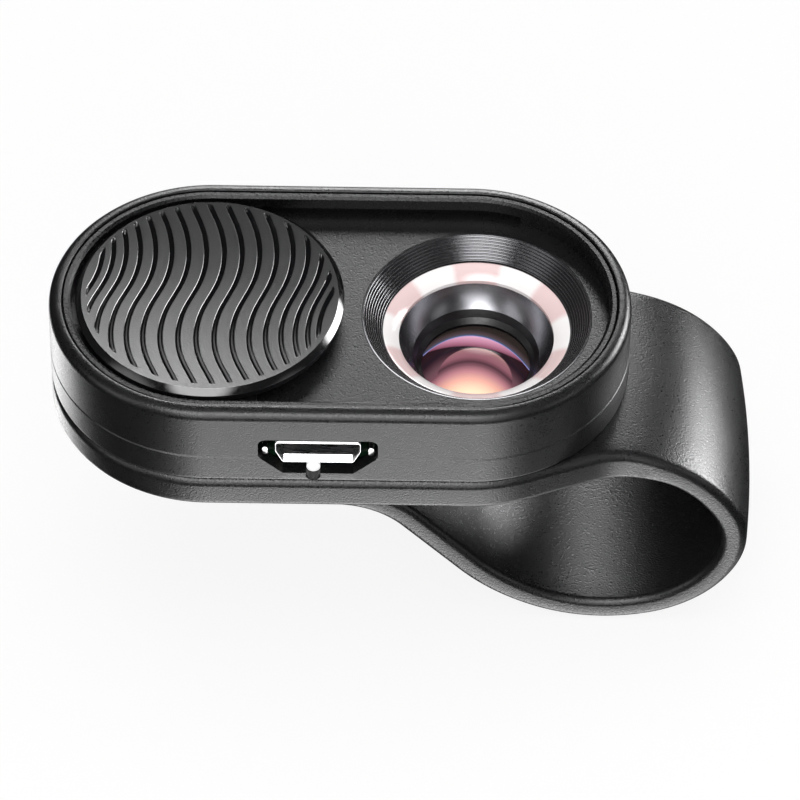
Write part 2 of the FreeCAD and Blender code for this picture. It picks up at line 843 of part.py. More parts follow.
def make_rear_lens():
    """Plano-convex glass with its crown towards the phone's camera."""
    reach = size("glass_radius")
    clear = reach - size("retainer_wall")
    return turned_ring("rear_lens", [
        (0, rear_bottom - size("rear_crown"), cap_radius(clear, size("rear_crown"))),
        (clear, rear_bottom),
        (reach, rear_bottom),
        (reach, spacer_bottom),
        (0, spacer_bottom),
    ])


def make_retaining_ring():
    reach = size("glass_radius")
    bore = reach - size("retainer_wall") + size("slip")
    low = rear_bottom - size("retainer_length")
    return turned_ring("retaining_ring", [
        (bore, low), (reach, low), (reach, rear_bottom), (bore, rear_bottom)])


# Board, cell and small electrical pieces

def make_main_board():
    body = new_body("main_board")
    outline = sketch_on(body, "board_outline", "XY_Plane", board_bottom)
    draw_stadium(outline, left_x, right_x, cavity_radius - size("board_gap"))
    extrude(body, "Pad", "board_sheet", outline, size("board_thickness"))
    holes = sketch_on(body, "board_holes", "XY_Plane", board_top)
    draw_circle(holes, lens_x, 0, size("diffuser_radius") + size("cup_wall") + size("board_hole_play"))
    extrude(body, "Pocket", "board_drilled", holes, size("board_thickness"))
    notches = sketch_on(body, "board_notches", "XY_Plane", board_top)
    for x, y in boss_places:
        draw_circle(notches, x, y, size("boss_radius") + size("board_gap"))
    extrude(body, "Pocket", "board_notched", notches, size("board_thickness"))
    return body


def make_ring_leds():
    """Lights in a ring round the lens, one solid each, under the diffuser."""
    count = int(size("light_count").value)
    ring = (size("diffuser_radius") + size("cup_wall") + size("funnel_foot_radius") + size("diffuser_rim")) / 2
    lights = []
    for number in range(count):
        light = Part.makeBox(
            size("light_width").value, size("light_length").value, size("light_height").value,
            FreeCAD.Vector(ring.value - size("light_width").value / 2, -size("light_length").value / 2, 0))
        light.rotate(FreeCAD.Vector(0, 0, 0), FreeCAD.Vector(0, 0, 1), (number + 0.5) * 360 / count)
        lights.append(light)
    group = document.addObject("Part::Feature", "ring_leds")
    group.Label = "ring_leds"
    group.Shape = Part.makeCompound(lights)
    group.Placement = FreeCAD.Placement(FreeCAD.Vector(0, 0, board_top.value), FreeCAD.Rotation())
    return group


def make_board_parts():
    """The cell on the board, the charger and the cover's switch in the row behind the port."""
    cell_high = -size("cell_right")
    half = size("cell_width") / 2
    shift = size("cell_shift")
    base = board_top + size("cell_play")
    cell = block("battery_cell", cell_high - size("cell_length"), cell_high,
                 shift - half, shift + half, base, base + size("cell_height"))
    row = -size("chip_row")
    side = size("chip_side") / 2
    chip_x = left_x - size("chip_left")
    chip = block("charge_chip", chip_x - side, chip_x + side, row - side, row + side,
                 board_top, board_top + size("chip_height"))
    long_half = size("sensor_length") / 2
    short_half = size("sensor_width") / 2
    sensor = block("hall_sensor", left_x - long_half, left_x + long_half, row - short_half, row + short_half,
                   board_top, board_top + size("sensor_height"))
    led_half = size("led_length") / 2
    led_front = -(housing_radius - size("pipe_inset") - size("pipe_length") - size("slip") * 2)
    led = block("indicator_led", window_x - led_half, window_x + led_half,
                led_front, led_front + size("led_depth"), board_bottom - size("led_height"), board_bottom)
    return [cell, chip, sensor, led]


def make_light_pipe():
    pipe = document.addObject("Part::Cylinder", "light_pipe")
    pipe.Label = "light_pipe"
    pipe.setExpression("Radius", (size("window_radius") - size("pipe_play")).formula)
    pipe.setExpression("Height", size("pipe_length").formula)
    pipe.Placement = FreeCAD.Placement(FreeCAD.Vector(0, 0, 0), FreeCAD.Rotation(FreeCAD.Vector(1, 0, 0), 90))
    back = housing_radius - size("pipe_inset") - size("pipe_length")
    pipe.setExpression("Placement.Base.x", window_x.formula)
    pipe.setExpression("Placement.Base.y", (-back).formula)
    pipe.setExpression("Placement.Base.z", window_z.formula)
    return pipe


# Charging port

def usb_corners(inset):
    """The receptacle's section: wide at the top, with slanted lower corners."""
    half = size("usb_width") / 2 - inset
    foot = size("usb_foot_width") / 2 - inset / 2
    top = usb_bottom + size("usb_height") - inset
    side = usb_bottom + size("usb_side") + inset / 4
    bottom = usb_bottom + inset
    return [
        (port_x - foot, bottom), (port_x + foot, bottom), (port_x + half, side),
        (port_x + half, top), (port_x - half, top), (port_x - half, side)]


def make_usb_shell():
    body = new_body("usb_shell")
    outline = sketch_on(body, "usb_outline", "XZ_Plane", -usb_face)
    draw_outline(outline, usb_corners(as_length(0)))
    extrude(body, "Pad", "usb_block", outline, size("usb_length"), True)
    mouth = sketch_on(body, "usb_mouth_outline", "XZ_Plane", -usb_face)
    draw_outline(mouth, usb_corners(size("usb_wall")))
    extrude(body, "Pocket", "usb_mouth", mouth, size("usb_length") - size("usb_wall"))
    return body


def make_usb_tongue():
    half = size("tongue_width") / 2
    top = usb_bottom + size("usb_height") - size("usb_wall") * 2
    back = usb_face + size("usb_length") - size("usb_wall")
    return block("usb_tongue", port_x - half, port_x + half, back - size("tongue_length"), back,
                 top - size("tongue_thickness"), top)


# Spring clip: plate, flare, loop and arm in one moulding

def band_path():
    """The band's middle line in X and Z: (radius, turn) for arcs and (length, 0) for straight runs.

    It leaves the plate level, turns clockwise round the loop, and turns back at the knee.
    """
    return [
        (size("crown_radius").value, -size("crown_angle").value),
        (size("shoulder_radius").value, -size("shoulder_angle").value),
        (size("side_radius").value, -size("side_angle").value),
        (size("heel_radius").value, -size("heel_angle").value),
        (size("sole_radius").value, -size("sole_angle").value),
        (size("rise_radius").value, -size("rise_angle").value),
        (size("reach_length").value, 0.0),
        (size("knee_radius").value, size("knee_angle").value),
        (size("jaw_length").value, 0.0),
        (size("lip_radius").value, size("lip_angle").value),
    ]


# Place of the jaw's straight run in that list
JAW = 8


def ahead(heading):
    """Unit vector along a heading in the XZ plane."""
    return FreeCAD.Vector(math.cos(heading), 0, math.sin(heading))


def beside(heading):
    """Unit vector to the left of a heading, which is the outside of the loop."""
    return FreeCAD.Vector(-math.sin(heading), 0, math.cos(heading))


def walk(pieces, side):
    """Edges, corner points and headings of the line that keeps a distance side to the left of the path."""
    half = size("band_thickness").value / 2
    point = FreeCAD.Vector(band_start.value, 0, plate_top.value - half)
    heading = 0.0
    edges = []
    corners = [point + beside(heading) * side]
    headings = [heading]
    for length, turn in pieces:
        if turn == 0.0:
            point = point + ahead(heading) * length
            end = point + beside(heading) * side
            edges.append(Part.makeLine(corners[-1], end))
        else:
            radians = math.radians(turn)
            arm = math.copysign(length, turn)
            centre = point + beside(heading) * arm
            middle = heading + radians / 2
            crest = centre + beside(middle) * (side - arm)
            heading = heading + radians
            point = centre - beside(heading) * arm
            end = point + beside(heading) * side
            edges.append(Part.Arc(corners[-1], crest, end).toShape())
        corners.append(end)
        headings.append(heading)
    return edges, corners, headings


def joined_face(edges):
    """A face inside edges that close on each other."""
    return Part.Face(Part.Wire(Part.__sortEdges__(edges)))


def band_face(pieces):
    """Side view of the band as a face."""
    half = size("band_thickness").value / 2
    outer, outer_corners, headings = walk(pieces, half)
    inner, inner_corners, headings = walk(pieces, -half)
    foot = Part.makeLine(inner_corners[0], outer_corners[0])
    tip = Part.makeLine(outer_corners[-1], inner_corners[-1])
    return joined_face([foot, tip] + outer + inner)


def root_line():
    """Underside of the thick root: it leaves the plate's underside level and runs into the band's inner line."""
    half = size("band_thickness").value / 2
    crown, shoulder = band_path()[:2]
    share = [crown, (shoulder[0], -size("root_turn").value)]
    inner, corners, headings = walk(share, -half)
    first = FreeCAD.Vector(band_start.value + size("root_start").value, 0, plate_bottom.value)
    curve = Part.BSplineCurve()
    curve.interpolate(Points=[first, corners[-1]], InitialTangent=ahead(0), FinalTangent=ahead(headings[-1]))
    middle = walk(share, 0)[1][-1]
    return curve.toShape(), first, corners[-1], middle


def slab_face():
    """Side view of the plate."""
    far = left_x.value - 2 * housing_radius.value
    low = plate_bottom.value
    high = plate_top.value
    corners = [(far, low), (band_start.value, low), (band_start.value, high), (far, high), (far, low)]
    return Part.Face(Part.makePolygon([FreeCAD.Vector(x, 0, z) for x, z in corners]))


def root_face():
    """Side view of the root, from inside the slab to where it has thinned to the band."""
    curve, first, last, middle = root_line()
    depth = size("band_thickness").value / 2
    inside = FreeCAD.Vector(band_start.value - depth, 0, plate_top.value - depth)
    foot = FreeCAD.Vector(inside.x, 0, first.z)
    return joined_face([
        Part.makeLine(inside, foot), Part.makeLine(foot, first), curve,
        Part.makeLine(last, middle), Part.makeLine(middle, inside)])


def plan_face():
    """Plan of the plate: the stadium, the flare that narrows it, and the band's strip."""
    radius = housing_radius.value
    narrow = band_half_width.value
    angle = math.radians(size("flare_angle").value)
    turn = size("flare_radius").value
    right = right_x.value
    left = left_x.value
    leave = FreeCAD.Vector(right + radius * math.sin(angle), radius * math.cos(angle), 0)
    settle_y = narrow + turn * (1 - math.cos(angle))
    settle = FreeCAD.Vector(leave.x + (leave.y - settle_y) / math.tan(angle), settle_y, 0)
    finish = FreeCAD.Vector(settle.x + turn * math.sin(angle), narrow, 0)
    bend = FreeCAD.Vector(finish.x - turn * math.sin(angle / 2), narrow + turn * (1 - math.cos(angle / 2)), 0)
    shoulder = FreeCAD.Vector(right + radius * math.sin(angle / 2), radius * math.cos(angle / 2), 0)
    far = FreeCAD.Vector(finish.x + radius * 2, narrow, 0)
    upper = [
        Part.makeLine(FreeCAD.Vector(left, radius, 0), FreeCAD.Vector(right, radius, 0)),
        Part.Arc(FreeCAD.Vector(right, radius, 0), shoulder, leave).toShape(),
        Part.makeLine(leave, settle),
        Part.Arc(settle, bend, finish).toShape(),
        Part.makeLine(finish, far),
    ]
    lower = [edge.mirror(FreeCAD.Vector(0, 0, 0), FreeCAD.Vector(0, 1, 0)) for edge in upper]
    ends = [
        Part.makeLine(far, FreeCAD.Vector(far.x, -far.y, 0)),
        Part.Arc(FreeCAD.Vector(left, radius, 0), FreeCAD.Vector(left - radius, 0, 0),
                 FreeCAD.Vector(left, -radius, 0)).toShape(),
    ]
    return joined_face(upper + lower + ends)


def spread(face, half_width):
    """A side-view face as a solid of that half width in Y."""
    face = face.copy()
    face.translate(FreeCAD.Vector(0, -half_width, 0))
    return face.extrude(FreeCAD.Vector(0, 2 * half_width, 0))


def rounded_edges(clip):
    """The clip's long edges on the outside of the bend, and those on the inside."""
    half = size("band_thickness").value / 2
    outer_line = Part.Wire(walk(band_path(), half)[0])
    inner_line = Part.Wire(walk(band_path(), -half)[0])
    root_under = root_line()[0]
    start = band_start.value
    touch = 0.001
    outside = []
    inside = []
    for edge in clip.Edges:
        middle = edge.valueAt((edge.FirstParameter + edge.LastParameter) / 2)
        first = edge.Vertexes[0].Point
        last = edge.Vertexes[-1].Point
        if abs(first.y - last.y) > 2 * band_half_width.value - touch:
            continue
        on_side = Part.Vertex(FreeCAD.Vector(middle.x, 0, middle.z))
        on_plate = middle.x < start + touch
        if on_side.distToShape(outer_line)[0] < touch or (on_plate and abs(middle.z - plate_top.value) < touch):
            outside.append(edge)
        elif on_side.distToShape(inner_line)[0] < touch or on_side.distToShape(root_under)[0] < touch:
            inside.append(edge)
        elif on_plate and abs(middle.z - plate_bottom.value) < touch:
            inside.append(edge)
    return outside, inside


def make_clip_blank():
    """Plate and band as one solid, with its long edges rounded outside the bend and bevelled inside."""
    pieces = band_path()
    wide = housing_radius.value + size("overshoot").value
    column = plan_face()
    column.translate(FreeCAD.Vector(0, 0, -3 * wide))
    column = column.extrude(FreeCAD.Vector(0, 0, 6 * wide))
    root = spread(slab_face(), wide).fuse([spread(root_face(), wide), spread(band_face(pieces[:2]), wide)])
    root = root.removeSplitter().common(column)
    band = spread(band_face(pieces), band_half_width.value)
    clip = root.fuse(band).removeSplitter()
    outside, inside = rounded_edges(clip)
    clip = clip.makeFillet(size("clip_edge").value, outside)
    outside, inside = rounded_edges(clip)
    clip = clip.makeChamfer(size("clip_inner_edge").value, inside)
    blank = document.addObject("Part::Feature", "clip_blank")
    blank.Shape = clip
    return blank


def drill(name, x, y, low, radius, height):
    """A round cutter along Z as a bound primitive."""
    tool = document.addObject("Part::Cylinder", name)
    tool.setExpression("Radius", radius.formula)
    tool.setExpression("Height", height.formula)
    tool.setExpression("Placement.Base.x", as_length(x).formula)
    tool.setExpression("Placement.Base.y", as_length(y).formula)
    tool.setExpression("Placement.Base.z", as_length(low).formula)
    return tool


def make_pad_blank(label, grow):
    """The plate pad's outline with rounded corners, as a solid that is larger by grow each way."""
    body = new_body(label)
    outline = sketch_on(body, label + "_outline", "XY_Plane")
    x = size("jaw_pad_length") / 2 + grow
    y = size("jaw_pad_width") / 2 + grow
    corner = size("jaw_pad_corner") + grow
    middle = -size("jaw_pad_centre")
    draw_outline(outline, [
        (middle - x + corner, -y), (middle + x - corner, -y, corner),
        (middle + x, -y + corner), (middle + x, y - corner, corner),
        (middle + x - corner, y), (middle - x + corner, y, corner),
        (middle - x, y - corner), (middle - x, -y + corner, corner),
    ])
    extrude(body, "Pad", label + "_block", outline, plate_bottom + size("pad_recess"))
    return body


def make_spring_clip():
    """The clip with its raised seat, eyepiece hole, screw holes and pad recesses."""
    blank = make_clip_blank()
    seat = new_body("clip_seat")
    outline = sketch_on(seat, "seat_outline", "XY_Plane", plate_top - size("slip"))
    draw_stadium(outline, left_x, right_x, cavity_radius)
    extrude(seat, "Pad", "seat_block", outline, size("plate_seat") + size("slip"))
    whole = document.addObject("Part::MultiFuse", "clip_with_seat")
    whole.Shapes = [blank, seat]
    below = plate_bottom - size("overshoot")
    through = lower_bottom - below + size("overshoot")
    tools = [
        drill("eyepiece_hole", 0, 0, below, size("barrel_radius") + size("slip"), through),
        drill("ring_recess", 0, 0, below, size("pad_radius") + size("pad_play"), size("pad_recess") + size("overshoot")),
        make_pad_blank("plate_pad_recess", size("pad_play")),
    ]
    for number, (x, y) in enumerate(boss_places):
        tools.append(drill("shank_hole_%d" % number, x, y, below, size("screw_radius") + size("screw_play"), through))
        tools.append(drill("head_recess_%d" % number, x, y, below, size("screw_head_radius") + size("slip"),
                           screw_bottom - below + size("screw_head_height")))
    cutters = document.addObject("Part::MultiFuse", "clip_cutters")
    cutters.Shapes = tools
    clip = document.addObject("Part::Cut", "spring_clip")
    clip.Label = "spring_clip"
    clip.Base = whole
    clip.Tool = cutters
    return clip


# Soft pads

def make_phone_pad():
    top = plate_bottom + size("pad_recess")
    return turned_ring("phone_pad", [
        (size("pad_hole_radius"), 0), (size("pad_radius"), 0), (size("pad_radius"), top),
        (size("pad_hole_radius"), top)])


def make_arm_pad():
    """Soft block on the flat of the jaw."""
    half = size("band_thickness").value / 2
    edges, corners, headings = walk(band_path(), -half)
    heading = headings[JAW]
    middle = (corners[JAW] + corners[JAW + 1]) / 2
    reach = size("arm_pad_length").value / 2
    width = size("jaw_pad_width").value
    up = -beside(heading)
    near = middle - ahead(heading) * reach - FreeCAD.Vector(0, width / 2, 0)
    foot = Part.Face(Part.makePolygon([
        near, near + ahead(heading) * (2 * reach), near + ahead(heading) * (2 * reach) + FreeCAD.Vector(0, width, 0),
        near + FreeCAD.Vector(0, width, 0), near]))
    block_shape = foot.extrude(up * size("arm_pad_thickness").value)
    upright = [edge for edge in block_shape.Edges
               if abs(edge.Length - size("arm_pad_thickness").value) < 0.001]
    pad = document.addObject("Part::Feature", "arm_pad")
    pad.Label = "arm_pad"
    pad.Shape = block_shape.makeFillet(size("jaw_pad_corner").value, upright)
    return pad


# Screws: pan heads sunk in the plate, shanks through the tray into the upper shell's bosses

def make_case_screws():
    head = size("screw_head_radius").value
    shank = size("screw_radius").value
    top = size("screw_head_height").value
    length = size("screw_length").value
    profile = [
        FreeCAD.Vector(0, 0, 0), FreeCAD.Vector(head, 0, 0), FreeCAD.Vector(head, 0, top),
        FreeCAD.Vector(shank, 0, top), FreeCAD.Vector(shank, 0, length - shank),
        FreeCAD.Vector(0, 0, length), FreeCAD.Vector(0, 0, 0)]
    turned = Part.Face(Part.makePolygon(profile)).revolve(FreeCAD.Vector(0, 0, 0), FreeCAD.Vector(0, 0, 1), 360)
    screws = []
    for x, y in boss_places:
        screw = turned.copy()
        screw.translate(FreeCAD.Vector(x.value, y.value, screw_bottom.value))
        screws.append(screw)
    group = document.addObject("Part::Feature", "case_screws")
    group.Label = "case_screws"
    group.Shape = Part.makeCompound(screws)
    return group


# Make every piece, check it and write it out

pieces = [
    make_upper_housing(), make_rail_frame(), make_lower_housing(), make_spring_clip(),
    make_cover_disc(), make_cover_slider(), make_cover_magnet(),
    make_funnel_ring(), make_light_ring(), make_reflector_cup(),
    make_lens_barrel(), make_front_lens(), make_spacer_ring(), make_rear_lens(), make_retaining_ring(),
    make_main_board(), make_ring_leds(), make_usb_shell(), make_usb_tongue(),
    make_light_pipe(), make_phone_pad(), make_pad_blank("plate_pad", as_length(0)), make_arm_pad(),
    make_case_screws(),
]
pieces += make_board_parts()
document.recompute()

for item in document.Objects:
    if "Invalid" in item.State or "Error" in item.State:
        raise RuntimeError("%s could not be made" % item.Label)
for piece in pieces:
    if piece.Shape.isNull() or not piece.Shape.isValid() or not piece.Shape.Solids:
        raise RuntimeError("%s is not a sound solid" % piece.Label)

os.makedirs("parts", exist_ok=True)
for piece in pieces:
    piece.Shape.exportStep("parts/%s.step" % piece.Label)
    print("%-18s %2d solids %9.1f mm3" % (piece.Label, len(piece.Shape.Solids), piece.Shape.Volume))
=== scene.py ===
"""Clip-on phone lens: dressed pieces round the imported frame, with its studio.

A stadium-shaped unit carries a lens well at its right end and a sliding grip cover at its left, on a
one-piece spring clip that goes round the phone's edge. Lengths are written in millimetres and kept as metres.
"""

import math
from types import SimpleNamespace

import bmesh
import bpy
import numpy as np
from mathutils import Matrix, Vector


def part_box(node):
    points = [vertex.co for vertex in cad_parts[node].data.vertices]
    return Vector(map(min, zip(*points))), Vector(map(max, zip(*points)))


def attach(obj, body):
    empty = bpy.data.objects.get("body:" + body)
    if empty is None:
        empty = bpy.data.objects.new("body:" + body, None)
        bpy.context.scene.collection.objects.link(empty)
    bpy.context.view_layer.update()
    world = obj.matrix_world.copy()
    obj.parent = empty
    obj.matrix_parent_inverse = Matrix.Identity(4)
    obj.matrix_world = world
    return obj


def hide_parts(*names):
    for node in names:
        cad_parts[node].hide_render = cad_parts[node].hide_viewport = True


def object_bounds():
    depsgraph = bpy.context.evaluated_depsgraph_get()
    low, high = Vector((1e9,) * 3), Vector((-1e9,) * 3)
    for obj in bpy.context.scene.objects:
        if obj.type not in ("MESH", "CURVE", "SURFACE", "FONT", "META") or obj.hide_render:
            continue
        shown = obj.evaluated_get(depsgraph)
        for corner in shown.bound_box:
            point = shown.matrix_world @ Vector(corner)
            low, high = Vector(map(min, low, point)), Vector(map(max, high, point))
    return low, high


bl_info = {
    "name": "Clip-on phone lens",
    "version": (1, 0, 0),
    "blender": (4, 5, 0),
    "location": "3D View > Sidebar > Phone lens",
    "description": "Builds the shells, cover, lens well, port and spring clip of a clip-on phone lens",
    "category": "Object",
}

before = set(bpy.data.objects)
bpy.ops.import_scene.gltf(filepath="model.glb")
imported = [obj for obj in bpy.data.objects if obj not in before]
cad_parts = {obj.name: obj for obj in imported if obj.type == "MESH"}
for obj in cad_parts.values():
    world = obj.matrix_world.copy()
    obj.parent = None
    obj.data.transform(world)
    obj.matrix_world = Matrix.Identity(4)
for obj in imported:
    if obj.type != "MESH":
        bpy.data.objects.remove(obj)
CAD_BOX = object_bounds()
MM = 0.001
BASE = "base"
COVER = "cover"
PAST = 1.0        # how far a cutter stands out of what it cuts
CLEAR = 0.05      # clearance between pieces that fit into each other


# Sizes and colours that a user would change

def paint(code):
    """Linear colour of an sRGB hex code such as 3A3A3B."""
    parts = np.array([int(code[at:at + 2], 16) / 255 for at in (0, 2, 4)])
    linear = np.where(parts <= 0.04045, parts / 12.92, ((parts + 0.055) / 1.055) ** 2.4)
    return (*linear.tolist(), 1.0)


def sizes(unit="LENGTH", **rows):
    """Properties named after their keys, from (description, default in mm or degrees). A list makes a row."""
    scale = MM if unit == "LENGTH" else math.radians(1)
    made = {}
    for key, (text, value) in rows.items():
        settings = {"name": key.replace("_", " ").capitalize(), "description": text, "unit": unit, "precision": 5}
        if isinstance(value, list):
            made[key] = bpy.props.FloatVectorProperty(
                default=[item * scale for item in value], size=len(value), **settings)
        else:
            made[key] = bpy.props.FloatProperty(default=value * scale, **settings)
    return made


def colours(**rows):
    """Colour properties named after their keys, from (description, sRGB hex code)."""
    return {key: bpy.props.FloatVectorProperty(
        name=key.capitalize(), description=text, default=paint(code), size=4, subtype="COLOR", min=0, max=1)
        for key, (text, code) in rows.items()}


class HousingSizes(bpy.types.PropertyGroup):
    """Outline and levels of the two shells and of the ring inside the rim."""
    __annotations__ = sizes(
        radius=("The two arcs of the stadium outline", 14.25),
        right_x=("Centre of the right arc, from the lens axis", -0.6),
        left_x=("Centre of the left arc, where the cover stands at rest", -23.6),
        bottom=("Underside of the lower shell", 3.9),
        floor=("Inner floor of the lower shell", 4.8),
        seam=("Level where the two shells meet", 6.93),
        top=("Top of the rim", 12.4),
        deck=("Floor of the recess that the cover slides in", 10.3),
        deck_under=("Underside of that floor", 9.2),
        wall=("Thickness of the shells' side walls", 1.3),
        rim=("Width of the rim's land", 1.15),
        bead=("Rounding of the rim's outer edge", 0.9),
        foot=("Rounding of the lower shell's bottom edge", 0.4),
        seam_bevel=("Bevel on each side of the seam", 0.12),
        groove=("Fine groove between the rim and the ring", 0.1),
        ring_wall=("Thickness of the ring inside the rim", 0.7),
        ring_bevel=("Width of the bevel on the ring's inner edge", 0.26),
        ring_drop=("Height of that bevel", 0.17),
        rail=("Height of the slots at the ring's foot", 0.76),
        rail_end=("Slot past the wing's travel", 4.5),
        mouth=("Radius of the round opening over the lens", 10.2),
        tray_hole=("Radius of the hole for the barrel in the floor", 6.25))


class CoverSizes(bpy.types.PropertyGroup):
    """Grip cover and its wave grooves."""
    __annotations__ = sizes(
        top=("Level of the cover's face", 12.6),
        under=("Level of its underside", 11.2),
        face=("Radius of the face", 11.37),
        radius=("Radius under the chamfer", 11.9),
        foot=("Radius at the underside", 11.6),
        chamfer=("Height of the polished chamfer", 0.48),
        dish=("Hollow of the face at its middle", 0.75),
        spread=("Radius of a round on which the grooves stand evenly", 13.0),
        width=("Width of a groove at the face", 0.46),
        depth=("Depth of a groove", 0.34),
        half_chord=("Half the run between two crests", 4.85),
        height=("Height of a crest over the groove's line", 1.1),
        phase=("Shift of the crests along the grooves", 0.45),
        reach=("Radius of the circle on which the grooves end", 10.9),
        reach_shift=("Shift of that circle away from the port side", 0.2),
        run_out=("Length of a groove's run-out", 0.16),
        magnet=("Radius of the magnet's pocket", 1.55),
        magnet_y=("Distance of that pocket from the axis", 7.6),
        pocket=("Depth of that pocket", 0.2),
    ) | sizes(
        "ROTATION",
        step=("Angle between neighbouring grooves on their round", 7.0),
        lean=("Lean of a groove's straight runs", 22.0))


class WellSizes(bpy.types.PropertyGroup):
    """Rings of the lens well and the glass in it."""
    __annotations__ = sizes(
        funnel=("Radius of the ridged funnel at the deck", 10.05),
        funnel_foot=("Radius at the foot of the ridges", 8.3),
        funnel_bottom=("Underside of the ridged ring", 8.47),
        groove=("Depth of the grooves between the ridges", 0.15),
        flange=("Radius of the ring's flange under the deck", 10.5),
        diffuser=("Inner radius of the pale ring", 6.89),
        diffuser_edge=("Level of the pale ring's inner edge", 7.57),
        diffuser_bottom=("Underside of the pale ring", 7.22),
        diffuser_rim=("Width of the pale ring under the ridged one", 0.8),
        cup_foot=("Radius of the dark cup at its foot", 5.63),
        cup_bottom=("Level of the dark cup's foot", 5.24),
        cup_wall=("Thickness of the dark cup", 0.45),
        bow=("Bulge of the pale ring, and hollow of the dark cup", 0.1),
        barrel=("Radius of the barrel", 6.2),
        barrel_flange=("Width of the barrel's flange", 0.5),
        barrel_bottom=("Level of the barrel's lower end", 0.75),
        lip=("Radius of the barrel's mouth over the glass", 4.85),
        glass=("Radius of the glass", 5.2),
        glass_seat=("Level of the front glass's shoulder", 3.79),
        glass_back=("Level of the front glass's back edge", 2.79),
        crown=("Rise of the front glass", 1.15),
        hollow=("Hollow of the front glass's back", 0.3))


class ClipSizes(bpy.types.PropertyGroup):
    """Spring clip: plate, flare, loop and arm, with the recesses in its underside."""
    __annotations__ = sizes(
        plate_bottom=("Underside of the plate", 0.5),
        plate_top=("Top of the plate", 3.8),
        band=("Thickness of the sprung band", 2.4),
        half_width=("Half the band's width", 10.3),
        band_start=("Where the band starts to bend", 10.53),
        root_start=("Where the root starts to thin, past the band's start", 1.0),
        root_run=("Length of the root along the band", 9.72),
        flare_radius=("Radius of the hollow that ends the flare", 14.0),
        edge=("Rounding of the outer long edges", 0.85),
        inner_edge=("Rounding of the inner long edges", 0.7),
        crown=("Crown of the outer face across the band", 0.45),
        pad_depth=("Depth of the recesses for the pads", 0.4),
        ring_recess=("Radius of the recess for the soft ring", 9.25),
        pad_corner=("Rounding of the plate pad's recess", 1.5),
        screw_recess=("Radius of the recesses for the screws' heads", 1.4),
        screw_depth=("Depth of those recesses", 0.95),
        radii=("Radii of the bends, from the plate to the lip",
               [13.92, 13.04, 7.51, 10.44, 14.73, 18.3, 0, 9.2, 0, 9.0]),
        runs=("Straight stretches, 0 where the band bends", [0, 0, 0, 0, 0, 0, 7.84, 0, 5.0, 0]),
    ) | sizes(
        "ROTATION",
        flare_angle=("Angle of the flare's straight sides", 20.8),
        turns=("Turns, 0 where the band is straight",
               [-28.3, -33.7, -49.5, -51.8, -39.2, -25.6, 0, 44.2, 0, 22.0]))


class PortSizes(bpy.types.PropertyGroup):
    """Charging port and the round indicator window under it."""
    __annotations__ = sizes(
        x=("Centre of the port along the housing", -13.78),
        half=("Half the opening's width", 5.25),
        half_foot=("Half the opening's width at its foot", 3.1),
        top=("Top of the opening over the seam", 2.26),
        shoulder=("Where the opening narrows, over the seam", 0.07),
        bottom=("Foot of the opening under the seam", 1.93),
        corner=("Rounding of the upper corners", 0.7),
        depth=("Depth of the opening", 2.5),
        shell_bottom=("Underside of the receptacle", 6.35),
        shell_height=("Height of the receptacle", 2.35),
        shell_half=("Half the receptacle's width", 3.75),
        shell_foot=("Half the receptacle's width at its foot", 3.1),
        shell_side=("Height of its slanted corners", 1.1),
        shell_wall=("Thickness of its sheet", 0.28),
        shell_face=("Place of its front edge", -13.95),
        shell_length=("Length of the receptacle", 5.55),
        lip=("Drop of the flared lower lip", 0.32),
        tab_x=("Distance of the side tabs from the port's middle", 4.65),
        tab_z=("Centre of the side tabs", 7.2),
        tab=("Width of a side tab", 0.46),
        tab_front=("Where a side tab starts, behind the front edge", 0.3),
        tab_back=("Where it ends", 2.2),
        window_x=("Centre of the round window along the housing", -14.2),
        window_z=("Level of its centre", 4.75),
        window=("Radius of the round window", 0.66))


class ScrewSizes(bpy.types.PropertyGroup):
    """The four case screws."""
    __annotations__ = sizes(
        head=("Radius of the head", 1.35),
        head_height=("Height of the head", 0.8),
        shank=("Radius of the shank", 0.7),
        arm=("Half the length of a cross recess's arm", 0.75),
        slot=("Half the width of that arm", 0.16),
        recess=("Depth of the cross recess", 0.5))


class Finishes(bpy.types.PropertyGroup):
    """Colours of the materials."""
    __annotations__ = colours(
        shell=("Moulded shells and clip", "131314"),
        ring=("Smooth ring inside the rim", "101011"),
        cover=("Grip cover", "141415"),
        funnel=("Ridged aluminium ring", "5A5A5C"),
        barrel=("Anodised barrel", "0C0C0D"),
        diffuser=("Milky ring", "F4F1F0"),
        glow=("Tint over the lamps", "E4CBCA"),
        cup=("Mirror coat of the cup", "8A8A8E"),
        steel=("Plated receptacle", "D8D8D8"),
        board=("Solder mask", "0C2415"),
        pad=("Soft pads", "2A2A2C"))


class LensSettings(bpy.types.PropertyGroup):
    """Everything that a user would change."""
    __annotations__ = {name: bpy.props.PointerProperty(type=kind, name=name.capitalize()) for name, kind in (
        ("housing", HousingSizes), ("cover", CoverSizes), ("well", WellSizes), ("clip", ClipSizes),
        ("port", PortSizes), ("screws", ScrewSizes), ("finishes", Finishes))}


def in_mm(group):
    """The group's lengths in millimetres and its angles in radians, by name."""
    values = {}
    for key in group.__annotations__:
        value = getattr(group, key)
        scale = 1 / MM if group.bl_rna.properties[key].unit == "LENGTH" else 1
        values[key] = np.array(value[:]) * scale if hasattr(value, "__len__") else value * scale
    return SimpleNamespace(**values)


# Shapes

def grid(x, y, level):
    """Grid of points whose rows have one level each."""
    return np.stack([x, y, np.broadcast_to(level, x.shape)], axis=2)


